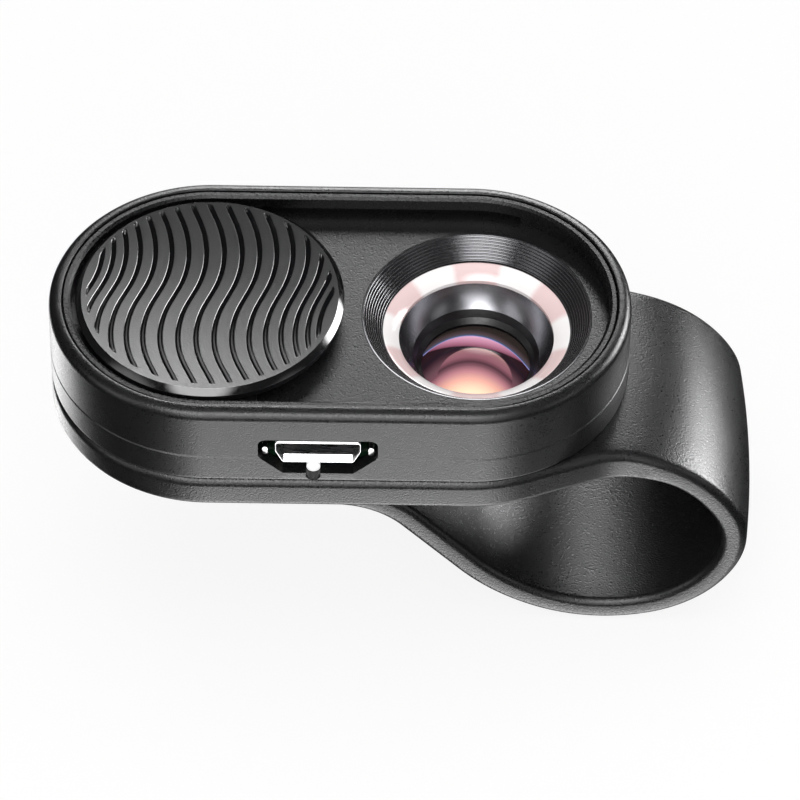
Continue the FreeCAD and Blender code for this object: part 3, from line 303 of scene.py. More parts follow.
def stadium(right_x, left_x, arc_steps=96, straight_steps=40):
    """Spine points and outward directions round a stadium, anticlockwise.

    On an arc the spine stands on its centre while the direction turns through half a circle. On a straight
    run the direction keeps still while the spine moves from one centre to the other.
    """
    turn = np.linspace(0, 1, arc_steps, endpoint=False) * math.pi
    slide = np.linspace(0, 1, straight_steps, endpoint=False)
    angle = np.concatenate([turn - math.pi / 2, np.full(straight_steps, math.pi / 2),
                            turn + math.pi / 2, np.full(straight_steps, -math.pi / 2)])
    spine = np.concatenate([np.full(arc_steps, right_x), right_x + (left_x - right_x) * slide,
                            np.full(arc_steps, left_x), left_x + (right_x - left_x) * slide])
    return spine, np.stack([np.cos(angle), np.sin(angle)], axis=1)


def stadium_rows(spine, outward, profile):
    """Rows that keep one distance from the spine and one level each, the profile's (reach, z)."""
    profile = np.array(profile, float)
    reach = profile[:, :1]
    return grid(spine + reach * outward[:, 0], reach * outward[:, 1], profile[:, 1:])


def circle_rows(spine, outward, guide, profile):
    """Rows on circles round the lens axis, each column in the direction of the guide's stadium point."""
    profile = np.array(profile, float)
    x, y = spine + guide * outward[:, 0], guide * outward[:, 1]
    reach = profile[:, :1] / np.hypot(x, y)
    return grid(reach * x, reach * y, profile[:, 1:])


def rounded(corners, steps=6):
    """Points of a polygon whose corners (x, y, fillet) are rounded: a fillet is an arc tangent to both sides."""
    points = []
    places = [complex(x, y) for x, y, _ in corners]
    for number, (corner, (_, _, fillet)) in enumerate(zip(places, corners)):
        if fillet == 0:
            points.append(corner)
            continue
        back, ahead = (end / abs(end) for end in (
            places[number - 1] - corner, places[(number + 1) % len(places)] - corner))
        half = abs(np.angle(ahead / back)) / 2
        centre = corner + (back + ahead) / abs(back + ahead) * fillet / math.sin(half)
        start = corner + back * fillet / math.tan(half) - centre
        side = np.sign((start.conjugate() * (ahead - back)).imag)
        points.extend(centre + start * np.exp(1j * side * np.linspace(0, math.pi - 2 * half, steps + 1)))
    return np.stack([np.real(points), np.imag(points)], axis=1)


def mirrored(middle, right, steps=6):
    """Rounded outline from its right half, bottom up, as (distance from the middle line, height, fillet)."""
    left = [(-x, z, fillet) for x, z, fillet in reversed(right)]
    return rounded([(middle + x, z, fillet) for x, z, fillet in (*right, *left)], steps)


def rectangle(low_x, low_y, high_x, high_y, fillet=0):
    """Points of a rectangle whose corners may be rounded."""
    return rounded([(low_x, low_y, fillet), (high_x, low_y, fillet),
                    (high_x, high_y, fillet), (low_x, high_y, fillet)])


def circle(radius, steps=48, centre=(0, 0)):
    """Points round a circle."""
    angle = np.linspace(0, 2 * math.pi, steps, endpoint=False)
    return np.stack([centre[0] + radius * np.cos(angle), centre[1] + radius * np.sin(angle)], axis=1)


def grid_faces(rows, columns, wrap_rows=True, wrap_columns=True):
    """Four-cornered faces between neighbouring rows and columns of a grid."""
    i = np.arange(rows if wrap_rows else rows - 1)[:, None]
    j = np.arange(columns if wrap_columns else columns - 1)[None, :]
    below, beside = (i + 1) % rows, (j + 1) % columns
    corners = [i * columns + j, i * columns + beside, below * columns + beside, below * columns + j]
    return np.stack([corner.ravel() for corner in np.broadcast_arrays(*corners)], axis=1)


def tube_faces(rows, columns, first_cap=True):
    """Faces of a tube of rows, with one face over its last row and one over its first."""
    faces = grid_faces(rows, columns, wrap_rows=False).tolist()
    faces.append(list(range((rows - 1) * columns, rows * columns)))
    return faces + [list(range(columns))[::-1]] if first_cap else faces


def finish_mesh(mesh, sharp):
    """Merge doubles, turn a closed surface outwards by its signed volume, and mark the sharp edges."""
    work = bmesh.new()
    work.from_mesh(mesh)
    bmesh.ops.remove_doubles(work, verts=work.verts, dist=2e-7)
    bmesh.ops.dissolve_degenerate(work, edges=work.edges, dist=1e-7)
    if work.calc_volume(signed=True) < 0:
        bmesh.ops.reverse_faces(work, faces=work.faces)
    work.to_mesh(mesh)
    work.free()
    mesh.polygons.foreach_set("use_smooth", np.ones(len(mesh.polygons), bool))
    mesh.set_sharp_from_angle(angle=math.radians(sharp))


def build(name, points, faces=None, sharp=32):
    """A mesh object from points in millimetres and its faces, or from a grid that closes on itself both ways."""
    faces = grid_faces(*points.shape[:2]) if faces is None else faces
    mesh = bpy.data.meshes.new(name)
    mesh.from_pydata((np.reshape(points, (-1, 3)) * MM).tolist(), [],
                     faces if isinstance(faces, list) else faces.tolist())
    finish_mesh(mesh, sharp)
    piece = bpy.data.objects.new(name, mesh)
    bpy.context.scene.collection.objects.link(piece)
    return piece


def turned(name, profile, steps=192, centre=(0, 0), sharp=32):
    """A profile of (radius, z) carried once round an axis parallel to Z. A profile that starts and ends on
    the axis closes in two poles, and any other closes on itself."""
    profile = np.array(profile, float)
    x, y = circle(1, steps).T
    points = grid(centre[0] + profile[:, :1] * x, centre[1] + profile[:, :1] * y, profile[:, 1:])
    on_axis = profile[0, 0] == 0 and profile[-1, 0] == 0
    return build(name, points, grid_faces(len(profile), steps, wrap_rows=not on_axis), sharp)


def prism(outline, low, high, axis="Z"):
    """A closed outline carried straight along an axis, with a flat cap at each end, as a cutter or a piece."""
    ends = [np.insert(outline, {"Z": 2, "Y": 1}[axis], level, axis=1) for level in (low, high)]
    return build("prism", np.concatenate(ends), tube_faces(2, len(outline)))


def cut(piece, cutters, sharp=32, operation="DIFFERENCE"):
    """Take closed cutters out of a piece or join them to it, keep the result as its mesh, and remove them."""
    for cutter in cutters:
        step = piece.modifiers.new("cut", "BOOLEAN")
        step.object, step.operation, step.solver = cutter, operation, "EXACT"
    made = bpy.data.meshes.new_from_object(piece.evaluated_get(bpy.context.evaluated_depsgraph_get()))
    piece.modifiers.clear()
    piece.data = made
    for cutter in cutters:
        bpy.data.objects.remove(cutter)
    made.name = piece.name
    finish_mesh(made, sharp)
    return piece


def place(piece, material, node, body=BASE, flat=True):
    """Give a piece its material and its body, and hide the frame's node that it stands for."""
    piece.data.materials.clear()
    piece.data.materials.append(material)
    if flat:
        piece.modifiers.new("flat faces stay flat", "WEIGHTED_NORMAL").keep_sharp = True
    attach(piece, body)
    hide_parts(node)


def dress(material, *nodes):
    """Give nodes of the frame their material."""
    for node in nodes:
        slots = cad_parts[node].data.materials
        slots.clear()
        slots.append(material)


# Materials

def feed(node, inputs):
    """Set or link a node's inputs, given by name or number. A node given as a value stands for its first output."""
    for key, value in inputs.items():
        if isinstance(value, bpy.types.Node):
            value = value.outputs[0]
        if isinstance(value, bpy.types.NodeSocket):
            node.id_data.links.new(value, node.inputs[key])
        else:
            node.inputs[key].default_value = value


def add_node(tree, kind, inputs=None, **settings):
    """Add a shader node with its settings and inputs."""
    node = tree.nodes.new("ShaderNode" + kind)
    for key, value in settings.items():
        setattr(node, key, value)
    feed(node, inputs or {})
    return node


def calc(tree, operation, *values, kind="Math"):
    """A node that works out one operation on its values."""
    return add_node(tree, kind, dict(enumerate(values)), operation=operation)


def noise(tree, where, size, detail=1.0):
    """Even noise whose grains are that many millimetres wide."""
    return add_node(tree, "TexNoise", {"Vector": where, "Scale": 1 / (size * MM), "Detail": detail})


def laid_over(tree, value, low, high, start=0.0, end=1.0, **settings):
    """A value's range from start to end laid over the one from low to high."""
    return add_node(tree, "MapRange", {"Value": value, "From Min": start, "From Max": end,
                                       "To Min": low, "To Max": high}, **settings)


def over(tree, mask, under, upper):
    """One colour over another where the mask is 1."""
    return add_node(tree, "Mix", {0: mask, 6: under, 7: upper}, data_type="RGBA").outputs[2]


def ramp(tree, value, stops):
    """Colours along a value, from (place, colour) stops."""
    node = add_node(tree, "ValToRGB", {"Fac": value})
    points = node.color_ramp.elements
    for number, (at, tone) in enumerate(stops):
        point = points[number] if number < 2 else points.new(at)
        point.position, point.color = at, tone
    return node


def shade(base, factor):
    """A colour made darker or paler."""
    return (*(min(1.0, value * factor) for value in base[:3]), 1.0)


def new_material(name):
    """An empty node material, its tree, its shader and its object coordinates."""
    material = bpy.data.materials.new(name)
    material.use_nodes = True
    tree = material.node_tree
    return material, tree, tree.nodes["Principled BSDF"], add_node(tree, "TexCoord").outputs["Object"]


def moulded_plastic(name, base, roughness, grain, height, mottle=0.12, shine=0.5, **more):
    """ABS moulded against a spark-eroded tool: fine even grain that breaks up the shine, slightly paler on
    the tops of the grains. The grain is drawn as coarse as it needs to show in the render. What comes by name
    goes to other inputs of the shader."""
    cloud_size, cloud_share, swing, low, high = 7.0, 0.25, 0.06, 0.35, 0.65
    material, tree, shader, where = new_material(name)
    grains, cloud = noise(tree, where, grain), noise(tree, where, cloud_size, 2.0)
    mixed = calc(tree, "MULTIPLY_ADD", cloud, cloud_share, calc(tree, "MULTIPLY", grains, 1 - cloud_share))
    feed(shader, {
        "Base Color": ramp(tree, mixed, ((low, shade(base, 1 - mottle)), (high, shade(base, 1 + mottle)))),
        "Roughness": laid_over(tree, mixed, roughness - swing, roughness + swing, low, high),
        "Normal": add_node(tree, "Bump", {"Height": grains, "Distance": height * MM}),
        "IOR": 1.5, "Specular IOR Level": shine, **more})
    return material


def blackened_aluminium(name, base, metallic=0.8):
    """Aluminium turned in ridges and blackened: dark metal whose facets each hold a line of light."""
    return moulded_plastic(name, base, 0.2, 0.3, 0.002, 0.06, Metallic=metallic)


def milky_diffuser(name, base, tint, lamps=6, first=30.0):
    """Milky polycarbonate, polished, with the soft tint of a lamp under each sixth of it."""
    material, tree, shader, where = new_material(name)
    split = add_node(tree, "SeparateXYZ", {0: where}).outputs
    phase = calc(tree, "MULTIPLY_ADD", calc(tree, "ARCTAN2", split["Y"], split["X"]), float(lamps),
                 -lamps * math.radians(first))
    mask = laid_over(tree, calc(tree, "COSINE", phase), 0, 1, -0.35, 0.25, interpolation_type="SMOOTHSTEP")
    blend = over(tree, mask, base, tint)
    feed(shader, {"Base Color": blend, "Emission Color": blend, "Emission Strength": 0.08,
                  "Roughness": 0.14, "IOR": 1.58})
    return material


def polished_cup(name, base):
    """Dark polycarbonate with a thin vapour-deposited mirror coat: glossy gunmetal."""
    material, tree, shader, where = new_material(name)
    feed(shader, {"Roughness": laid_over(tree, noise(tree, where, 1.5), 0.24, 0.28),
                  "Base Color": base, "Metallic": 1.0})
    return material


def plated_steel(name, base, roughness=0.28):
    """Deep-drawn sheet steel under bright nickel: mirror-like with faint drawing marks along the sheet."""
    swing, stretch = 0.08, (1.0, 12.0, 12.0)
    material, tree, shader, where = new_material(name)
    marks = noise(tree, add_node(tree, "Mapping", {"Vector": where, "Scale": stretch}), 2.0, 3.0)
    feed(shader, {"Roughness": laid_over(tree, marks, roughness - swing, roughness + swing),
                  "Base Color": base, "Metallic": 1.0})
    return material


def soft_silicone(name, base):
    """Moulded silicone: very matt, with fine dust on it."""
    material, tree, shader, where = new_material(name)
    dust = noise(tree, where, 0.3, 4.0)
    feed(shader, {"Base Color": ramp(tree, dust, ((0.4, base), (0.8, shade(base, 1.8)))), "Roughness": 0.85,
                  "Normal": add_node(tree, "Bump", {"Height": dust, "Distance": 0.01 * MM})})
    return material


def coated_glass_painted_reflections(name, reach):
    """Coated lens seen down its barrel, with reflections painted into its colour. Painted reflections run in arcs
    across the glass, from cream at the port side over peach and mauve to a dark band, the barrel's inner wall painted
    as seen through the glass, and a thin violet edge. A magenta crescent, the painted reflection of the back light in
    the coat, lies under that edge, and a smaller round of the same painted colours lies in the middle."""
    wide, narrow, tilt = 8.8, 35, 0.16
    round_centre, round_inner, round_outer = (-0.1, -2.2, 0), 3.3, 3.42
    crescent_foot, crescent_top = (1.25, 1.4), (2.95, 2.85)
    material, tree, shader, where = new_material(name)
    x, y = add_node(tree, "SeparateXYZ", {0: where}).outputs[:2]
    square = calc(tree, "POWER", x, 2.0)

    def share(across, lean, low=-reach, high=reach):
        """Share of the way up the glass, from low to high, along arcs of one depth and lean."""
        arcs = calc(tree, "MULTIPLY_ADD", square, 1 / (across * MM), calc(tree, "MULTIPLY_ADD", x, lean, y))
        return laid_over(tree, arcs, 0, 1, low * MM, high * MM)

    def tones(across, lean, *stops):
        """Colours along those arcs."""
        return ramp(tree, share(across, lean), [(at, paint(code)) for at, code in stops])

    cream = ((0.03, "FFF4DC"), (0.14, "F8D8B8"), (0.24, "E0A898"), (0.33, "B07880"), (0.4, "704A54"))
    whole = tones(wide, tilt, *cream, (0.48, "5E424A"), (0.57, "3C262E"), (0.62, "241820"), (0.794, "2A181C"),
                  (0.799, "9C98D8"), (0.815, "405068"), (0.85, "4A3C40"), (0.93, "2A2422"))
    crescent = tones(narrow, 0.15, (0.63, "64384A"), (0.66, "8A5468"), (0.73, "B47C94"), (0.8, "D09CB4"))
    dome = tones(wide, tilt, *cream, (0.44, "4A3038"), (0.5, "80525E"), (0.58, "8C6268"), (0.615, "A07C78"))
    both = calc(tree, "MULTIPLY", share(narrow, 0.15, *crescent_foot), share(wide, tilt, *crescent_top))
    away = calc(tree, "SUBTRACT", where, Vector(round_centre) * MM, kind="VectorMath")
    flat = calc(tree, "MULTIPLY", away, (1, 1, 0), kind="VectorMath")
    spread = calc(tree, "LENGTH", flat, kind="VectorMath").outputs["Value"]
    inside = laid_over(tree, spread, 0, 1, round_outer * MM, round_inner * MM)
    seen = over(tree, inside, over(tree, both, whole, crescent), dome)
    # The glass glows with its painted colours: a painted glow that stands in for the light reaching it down the well.
    feed(shader, {"Base Color": seen, "Emission Color": seen, "Emission Strength": 0.4, "Roughness": 0.06,
                  "Specular IOR Level": 0.1})
    return material


# Operators

class PhoneLensOperator:
    """What all the operators share."""
    bl_options = {"REGISTER", "UNDO"}

    @property
    def paints(self):
        return bpy.context.scene.phone_lens.finishes

    @staticmethod
    def sizes(*groups):
        """The settings of some groups, in millimetres."""
        return [in_mm(getattr(bpy.context.scene.phone_lens, group)) for group in groups]


class PHONELENS_OT_shells(PhoneLensOperator, bpy.types.Operator):
    """Upper and lower shell, one closed grid each, with the port and the window cut through"""
    bl_idname = "phone_lens.shells"
    bl_label = "Build the shells"

    def execute(self, context):
        house, port = self.sizes("housing", "port")
        spine, outward = stadium(house.right_x, house.left_x)
        cavity, recess = house.radius - house.wall, house.radius - house.rim
        bevel, inner_edge, tuck = house.seam_bevel, 0.1, 1.0
        upper = build("upper_shell", np.concatenate([
            stadium_rows(spine, outward, [(cavity, house.seam), *rounded([
                (house.radius - bevel, house.seam, 0), (house.radius, house.seam + bevel, 0),
                (house.radius, house.top, house.bead), (recess, house.top, inner_edge), (recess, house.deck, 0)])]),
            circle_rows(spine, outward, recess, [(house.mouth, house.deck), (house.mouth, house.deck_under)]),
            stadium_rows(spine, outward, [(cavity, house.deck_under)])]))
        lower = build("lower_shell", np.concatenate([
            stadium_rows(spine, outward, rounded([
                (cavity, house.floor, 0), (cavity, house.seam, 0), (house.radius - bevel, house.seam, 0),
                (house.radius, house.seam - bevel, 0), (house.radius, house.bottom, house.foot),
                (cavity - tuck, house.bottom, 0)])),
            circle_rows(spine, outward, cavity, [(house.tray_hole, house.bottom), (house.tray_hole, house.floor)])]))
        opening = self.opening(port, house.seam)
        window = circle(port.window, centre=(port.window_x, port.window_z))
        near = -house.radius - PAST
        far = near + port.depth
        cut(upper, [prism(opening, near, far, "Y")])
        cut(lower, [prism(opening, near, far, "Y"), prism(window, near, far + 1, "Y")])
        black = moulded_plastic("moulded black ABS", self.paints.shell, 0.32, 0.14, 0.02)
        place(upper, black, "upper_housing")
        place(lower, black, "lower_housing")
        return {"FINISHED"}

    @staticmethod
    def opening(port, seam):
        """The port's opening in X and Z: narrow at its foot, with two rounded upper corners."""
        return mirrored(port.x, [(port.half_foot, seam - port.bottom, 0), (port.half, seam + port.shoulder, 0),
                                 (port.half, seam + port.top, port.corner)])


class PHONELENS_OT_ring(PhoneLensOperator, bpy.types.Operator):
    """Smooth ring inside the rim, with the bevel on its inner edge and the slots for the cover's wings"""
    bl_idname = "phone_lens.ring"
    bl_label = "Build the ring inside the rim"

    def execute(self, context):
        house, = self.sizes("housing")
        outer = house.radius - house.rim - house.groove
        inner = outer - house.ring_wall
        land = house.top - house.groove
        ring = build("inner_ring", stadium_rows(*stadium(house.right_x, house.left_x), [
            (inner, house.deck), (inner, land - house.ring_drop), (inner + house.ring_bevel, land),
            (outer - house.groove, land), (outer, land - house.groove), (outer, house.deck)]))
        reach = (house.right_x - house.left_x) / 2 + house.rail_end
        middle = (house.right_x + house.left_x) / 2
        near = math.sqrt(inner ** 2 - house.rail_end ** 2)
        cut(ring, [prism(rectangle(middle - reach, low, middle + reach, high), house.deck - PAST,
                         house.deck + house.rail)
                   for low, high in ((near, house.radius), (-house.radius, -near))])
        satin = moulded_plastic("smooth black ABS", self.paints.ring, 0.3, 0.2, 0.01, 0.08)
        place(ring, satin, "rail_frame")
        return {"FINISHED"}


class PHONELENS_OT_cover(PhoneLensOperator, bpy.types.Operator):
    """Grip cover: a sheared grid whose columns follow the waves, with the grooves as its height"""
    bl_idname = "phone_lens.cover"
    bl_label = "Build the grip cover"

    def execute(self, context):
        cover, house = self.sizes("cover", "housing")
        centre = house.left_x
        face, turn = self.grooved_face(cover)
        rim_angle = np.concatenate([turn, turn[1:-1] + math.pi])
        profile = rounded([(cover.face, cover.top, 0), (cover.radius, cover.top - cover.chamfer, 0.06),
                           (cover.foot, cover.under, 0.1), (0, cover.under, 0)], 3)
        skirt = grid(profile[:, :1] * np.cos(rim_angle), profile[:, :1] * np.sin(rim_angle), profile[:, 1:])
        faces = np.concatenate([
            grid_faces(*face.shape[:2], wrap_rows=False, wrap_columns=False),
            grid_faces(*skirt.shape[:2], wrap_rows=False)[:, ::-1] + face.shape[0] * face.shape[1]])
        points = np.concatenate([face.reshape(-1, 3), skirt.reshape(-1, 3)]) + [centre, 0, 0]
        grip = build("grip_cover", points, faces, sharp=38)
        pocket = circle(cover.magnet, centre=(centre, -cover.magnet_y))
        cut(grip, [prism(pocket, cover.under - PAST, cover.under + cover.pocket)], sharp=38)
        matt = moulded_plastic("grained black cover", self.paints.cover, 0.36, 0.12, 0.016, 0.1)
        place(grip, matt, "cover_disc", body=COVER)
        shiny = moulded_plastic("polished black chamfer", self.paints.cover, 0.12, 0.4, 0.001, 0.03, shine=0.8)
        grip.data.materials.append(shiny)
        self.polish(grip.data, cover, centre)
        return {"FINISHED"}

    @staticmethod
    def wave_line(cover, y):
        """Place and slope of a groove's line at y: crest arcs joined by straight runs that lean by the wave's lean.
        The crest nearest to y gives a side and a distance. Within the arc's reach the line follows a circle, and
        outside it the tangent line down to the crossing."""
        half, rise, fall = cover.half_chord, math.sin(cover.lean), math.tan(cover.lean)
        radius = (half * fall - cover.height) / (1 / math.cos(cover.lean) - 1)
        number = np.floor((y - cover.phase) / (2 * half))
        side = np.where(number % 2 == 0, 1.0, -1.0)
        away = y - cover.phase - (number + 0.5) * 2 * half
        on_arc = np.abs(away) < radius * rise
        bend = np.sqrt(radius ** 2 - np.minimum(np.abs(away), radius * rise) ** 2)
        run = radius * math.cos(cover.lean) - (np.abs(away) - radius * rise) * fall
        x = side * (cover.height - radius + np.where(on_arc, bend, run))
        return x, -side * np.where(on_arc, away / bend, np.sign(away) * fall)

    def grooved_face(self, cover):
        """Grid over the round face, and the turn of each row's ends. Each groove has lines of its own, closer at
        its edges, that follow the wave; its section is a V with a narrow flat, and its ends run out to the face."""
        half, trim, numbers, flat = cover.width / 2, 1.4, np.arange(-8, 9), 0.9
        edge = np.array([0.2, 0.4, 0.6, 0.8, 0.97, 1.08, 1.3])
        lines = half * np.concatenate([-edge[::-1], [0], edge])
        places = cover.spread * np.sin(numbers * cover.step)
        margin = np.linspace(cover.half_chord / 8, cover.half_chord, 8)
        across = np.sort(np.concatenate([(places[:, None] + lines).ravel(), (places[1:] + places[:-1]) / 2,
                                         places[0] - margin, places[-1] + margin]))
        offset = across - places[np.abs(across[:, None] - places).argmin(axis=1)]
        turn = np.linspace(-math.pi / 2, math.pi / 2, 221)
        y = cover.face * np.sin(turn)[:, None]
        line, slope = self.wave_line(cover, y)
        widen = np.where(np.abs(offset) < trim * half, offset * (np.sqrt(1 + slope ** 2) - 1), 0)
        chord = np.sqrt(np.maximum(cover.face ** 2 - y ** 2, 0))
        x = np.clip(across + widen + line, -chord, chord)
        y = np.broadcast_to(y, x.shape)
        trough = np.minimum(1 - np.clip(np.abs(offset) / half, 0, 1), flat) / flat
        reach = np.clip((cover.reach - np.hypot(x, y - cover.reach_shift)) / cover.run_out, 0, 1)
        hollow = cover.dish * (1 - (x ** 2 + y ** 2) / cover.face ** 2)
        z = cover.top - hollow - cover.depth * trough * np.sqrt(1 - (1 - reach) ** 2)
        return np.stack([x, y, z], axis=2), turn

    @staticmethod
    def polish(mesh, cover, centre):
        """Give the second material to the chamfer and to the grooves' walls and floors."""
        normal, middle = np.zeros((2, len(mesh.polygons) * 3))
        mesh.polygons.foreach_get("normal", normal)
        mesh.polygons.foreach_get("center", middle)
        normal, middle = normal.reshape(-1, 3), middle.reshape(-1, 3) / MM
        out = np.hypot(middle[:, 0] - centre, middle[:, 1])
        slack, margin, upward = 0.02, 0.1, 0.2
        chamfer = (out > cover.face - slack) & (normal[:, 2] > upward + 0.1)
        sunk = cover.top - cover.dish * (1 - out ** 2 / cover.face ** 2) - middle[:, 2]
        trough = (out < cover.face - margin) & (sunk > slack) & (normal[:, 2] > upward)
        mesh.polygons.foreach_set("material_index", (chamfer | trough).astype(np.int32))


def bowed(start, end, bow, steps=10):
    """Points after the start, up to the end, on a parabola that stands off the chord by bow at its middle."""
    start, end = np.array(start, float), np.array(end, float)
    share = np.linspace(0, 1, steps + 1)[1:, None]
    chord = end - start
    across = np.array([chord[1], -chord[0]]) / np.linalg.norm(chord)
    return start + chord * share + across * (4 * bow * share * (1 - share))


class PHONELENS_OT_well(PhoneLensOperator, bpy.types.Operator):
    """Rings of the lens well, from the ridged funnel down to the barrel"""
    bl_idname = "phone_lens.well"
    bl_label = "Build the lens well"

    def execute(self, context):
        well, house = self.sizes("well", "housing")
        paints = self.paints
        place(self.funnel(well, house), blackened_aluminium("turned and blackened aluminium baffle", paints.funnel),
              "funnel_ring", flat=False)
        foot, mouth, low = well.funnel_foot, well.diffuser, well.diffuser_bottom
        top, rim = well.funnel_bottom - CLEAR, well.funnel_foot + well.diffuser_rim
        slope = bowed((foot, top), (mouth, well.diffuser_edge), well.bow)
        ring = turned("diffuser_ring", [(mouth, low), (rim, low), (rim, top), (foot, top), *slope])
        place(ring, milky_diffuser("milky polycarbonate", paints.diffuser, paints.glow), "light_ring",
              flat=False)
        foot, bottom, wall, height = well.cup_foot, well.cup_bottom, well.cup_wall, well.diffuser_bottom - CLEAR
        cup = turned("polished_cup", [
            (mouth, height), *bowed((mouth, height), (foot, bottom), -well.bow),
            (foot + wall, bottom), *bowed((foot + wall, bottom), (mouth + wall, height), well.bow)])
        place(cup, polished_cup("gunmetal coated polycarbonate", paints.cup), "reflector_cup",
              flat=False)
        bore, flange, seat = well.glass + CLEAR, well.barrel + well.barrel_flange, well.glass_seat
        lip_height, cone_top, cone = 0.3, 0.75, 0.42
        barrel = turned("stepped_barrel", rounded([
            (bore, well.barrel_bottom, 0), (well.barrel, well.barrel_bottom, 0), (well.barrel, house.floor, 0),
            (flange, house.floor, 0), (flange, bottom, 0), (foot, bottom, 0.08),
            (well.lip + cone, seat + cone_top, 0.05), (well.lip, seat + lip_height, 0.05), (well.lip, seat, 0),
            (bore, seat, 0)], 3), 160)
        anodised = moulded_plastic("black anodised barrel", paints.barrel, 0.34, 0.25, 0.004, 0.06)
        place(barrel, anodised, "lens_barrel", flat=False)
        return {"FINISHED"}

    @staticmethod
    def funnel(well, house, ridges=9):
        """The funnel's cone of ridges, each a slightly crowned facet and a groove with a flat floor."""
        facet_end, crown_middle, crown_half = 0.53, 0.26, 0.24
        part = np.array([0.02, 0.1, 0.2, 0.3, 0.4, 0.5, 0.56, 0.94])
        crown = 1 - ((part - crown_middle) / crown_half) ** 2
        share = ((np.arange(ridges)[:, None] + part) / ridges).ravel()
        bulge = np.tile(np.where(part > facet_end, -well.groove, well.groove / 8 * crown), ridges)
        slope = np.array([well.funnel_foot - well.funnel, well.funnel_bottom - house.deck])
        inwards = np.array([slope[1], -slope[0]]) / np.linalg.norm(slope)
        stair = np.array([well.funnel, house.deck]) + share[:, None] * slope + bulge[:, None] * inwards
        neck, under = well.funnel + 2 * CLEAR, house.deck_under - CLEAR
        return turned("ridged_funnel", [
            (well.funnel_foot, well.funnel_bottom), (well.flange, well.funnel_bottom), (well.flange, under),
            (neck, under), (neck, house.deck), *stair], sharp=20)


class PHONELENS_OT_glass(PhoneLensOperator, bpy.types.Operator):
    """Front glass, drawn as one coated surface with painted reflections; the rear glass wears the same painted coat
    """
    bl_idname = "phone_lens.glass"
    bl_label = "Build the glass"

    def execute(self, context):
        well, = self.sizes("well")
        crown, hollow = (self.cap(well.lip - CLEAR, rise) for rise in (well.crown, well.hollow))
        glass = turned("front_glass", np.vstack([
            crown + [0, well.glass_seat], [(well.glass, well.glass_seat), (well.glass, well.glass_back)],
            (hollow * [1, -1] + [0, well.glass_back])[::-1]]), 160, sharp=25)
        # The coat's colours are painted reflections and a painted glow, on both glasses.
        coated = coated_glass_painted_reflections("coated optical glass with painted reflections", well.lip)
        place(glass, coated, "front_lens", flat=False)
        dress(coated, "rear_lens")
        return {"FINISHED"}

    @staticmethod
    def cap(reach, rise, steps=16):
        """Points of a spherical cap from its pole to its rim: the circle through both."""
        radius = (reach ** 2 + rise ** 2) / (2 * rise)
        angle = np.linspace(0, math.asin(reach / radius), steps + 1)
        return np.stack([radius * np.sin(angle), radius * np.cos(angle) - radius + rise], axis=1)


def eased(value, start, end):
    """Smooth share of the way from start to end."""
    share = np.clip((value - start) / (end - start), 0, 1)
    return share ** 2 * (3 - 2 * share)


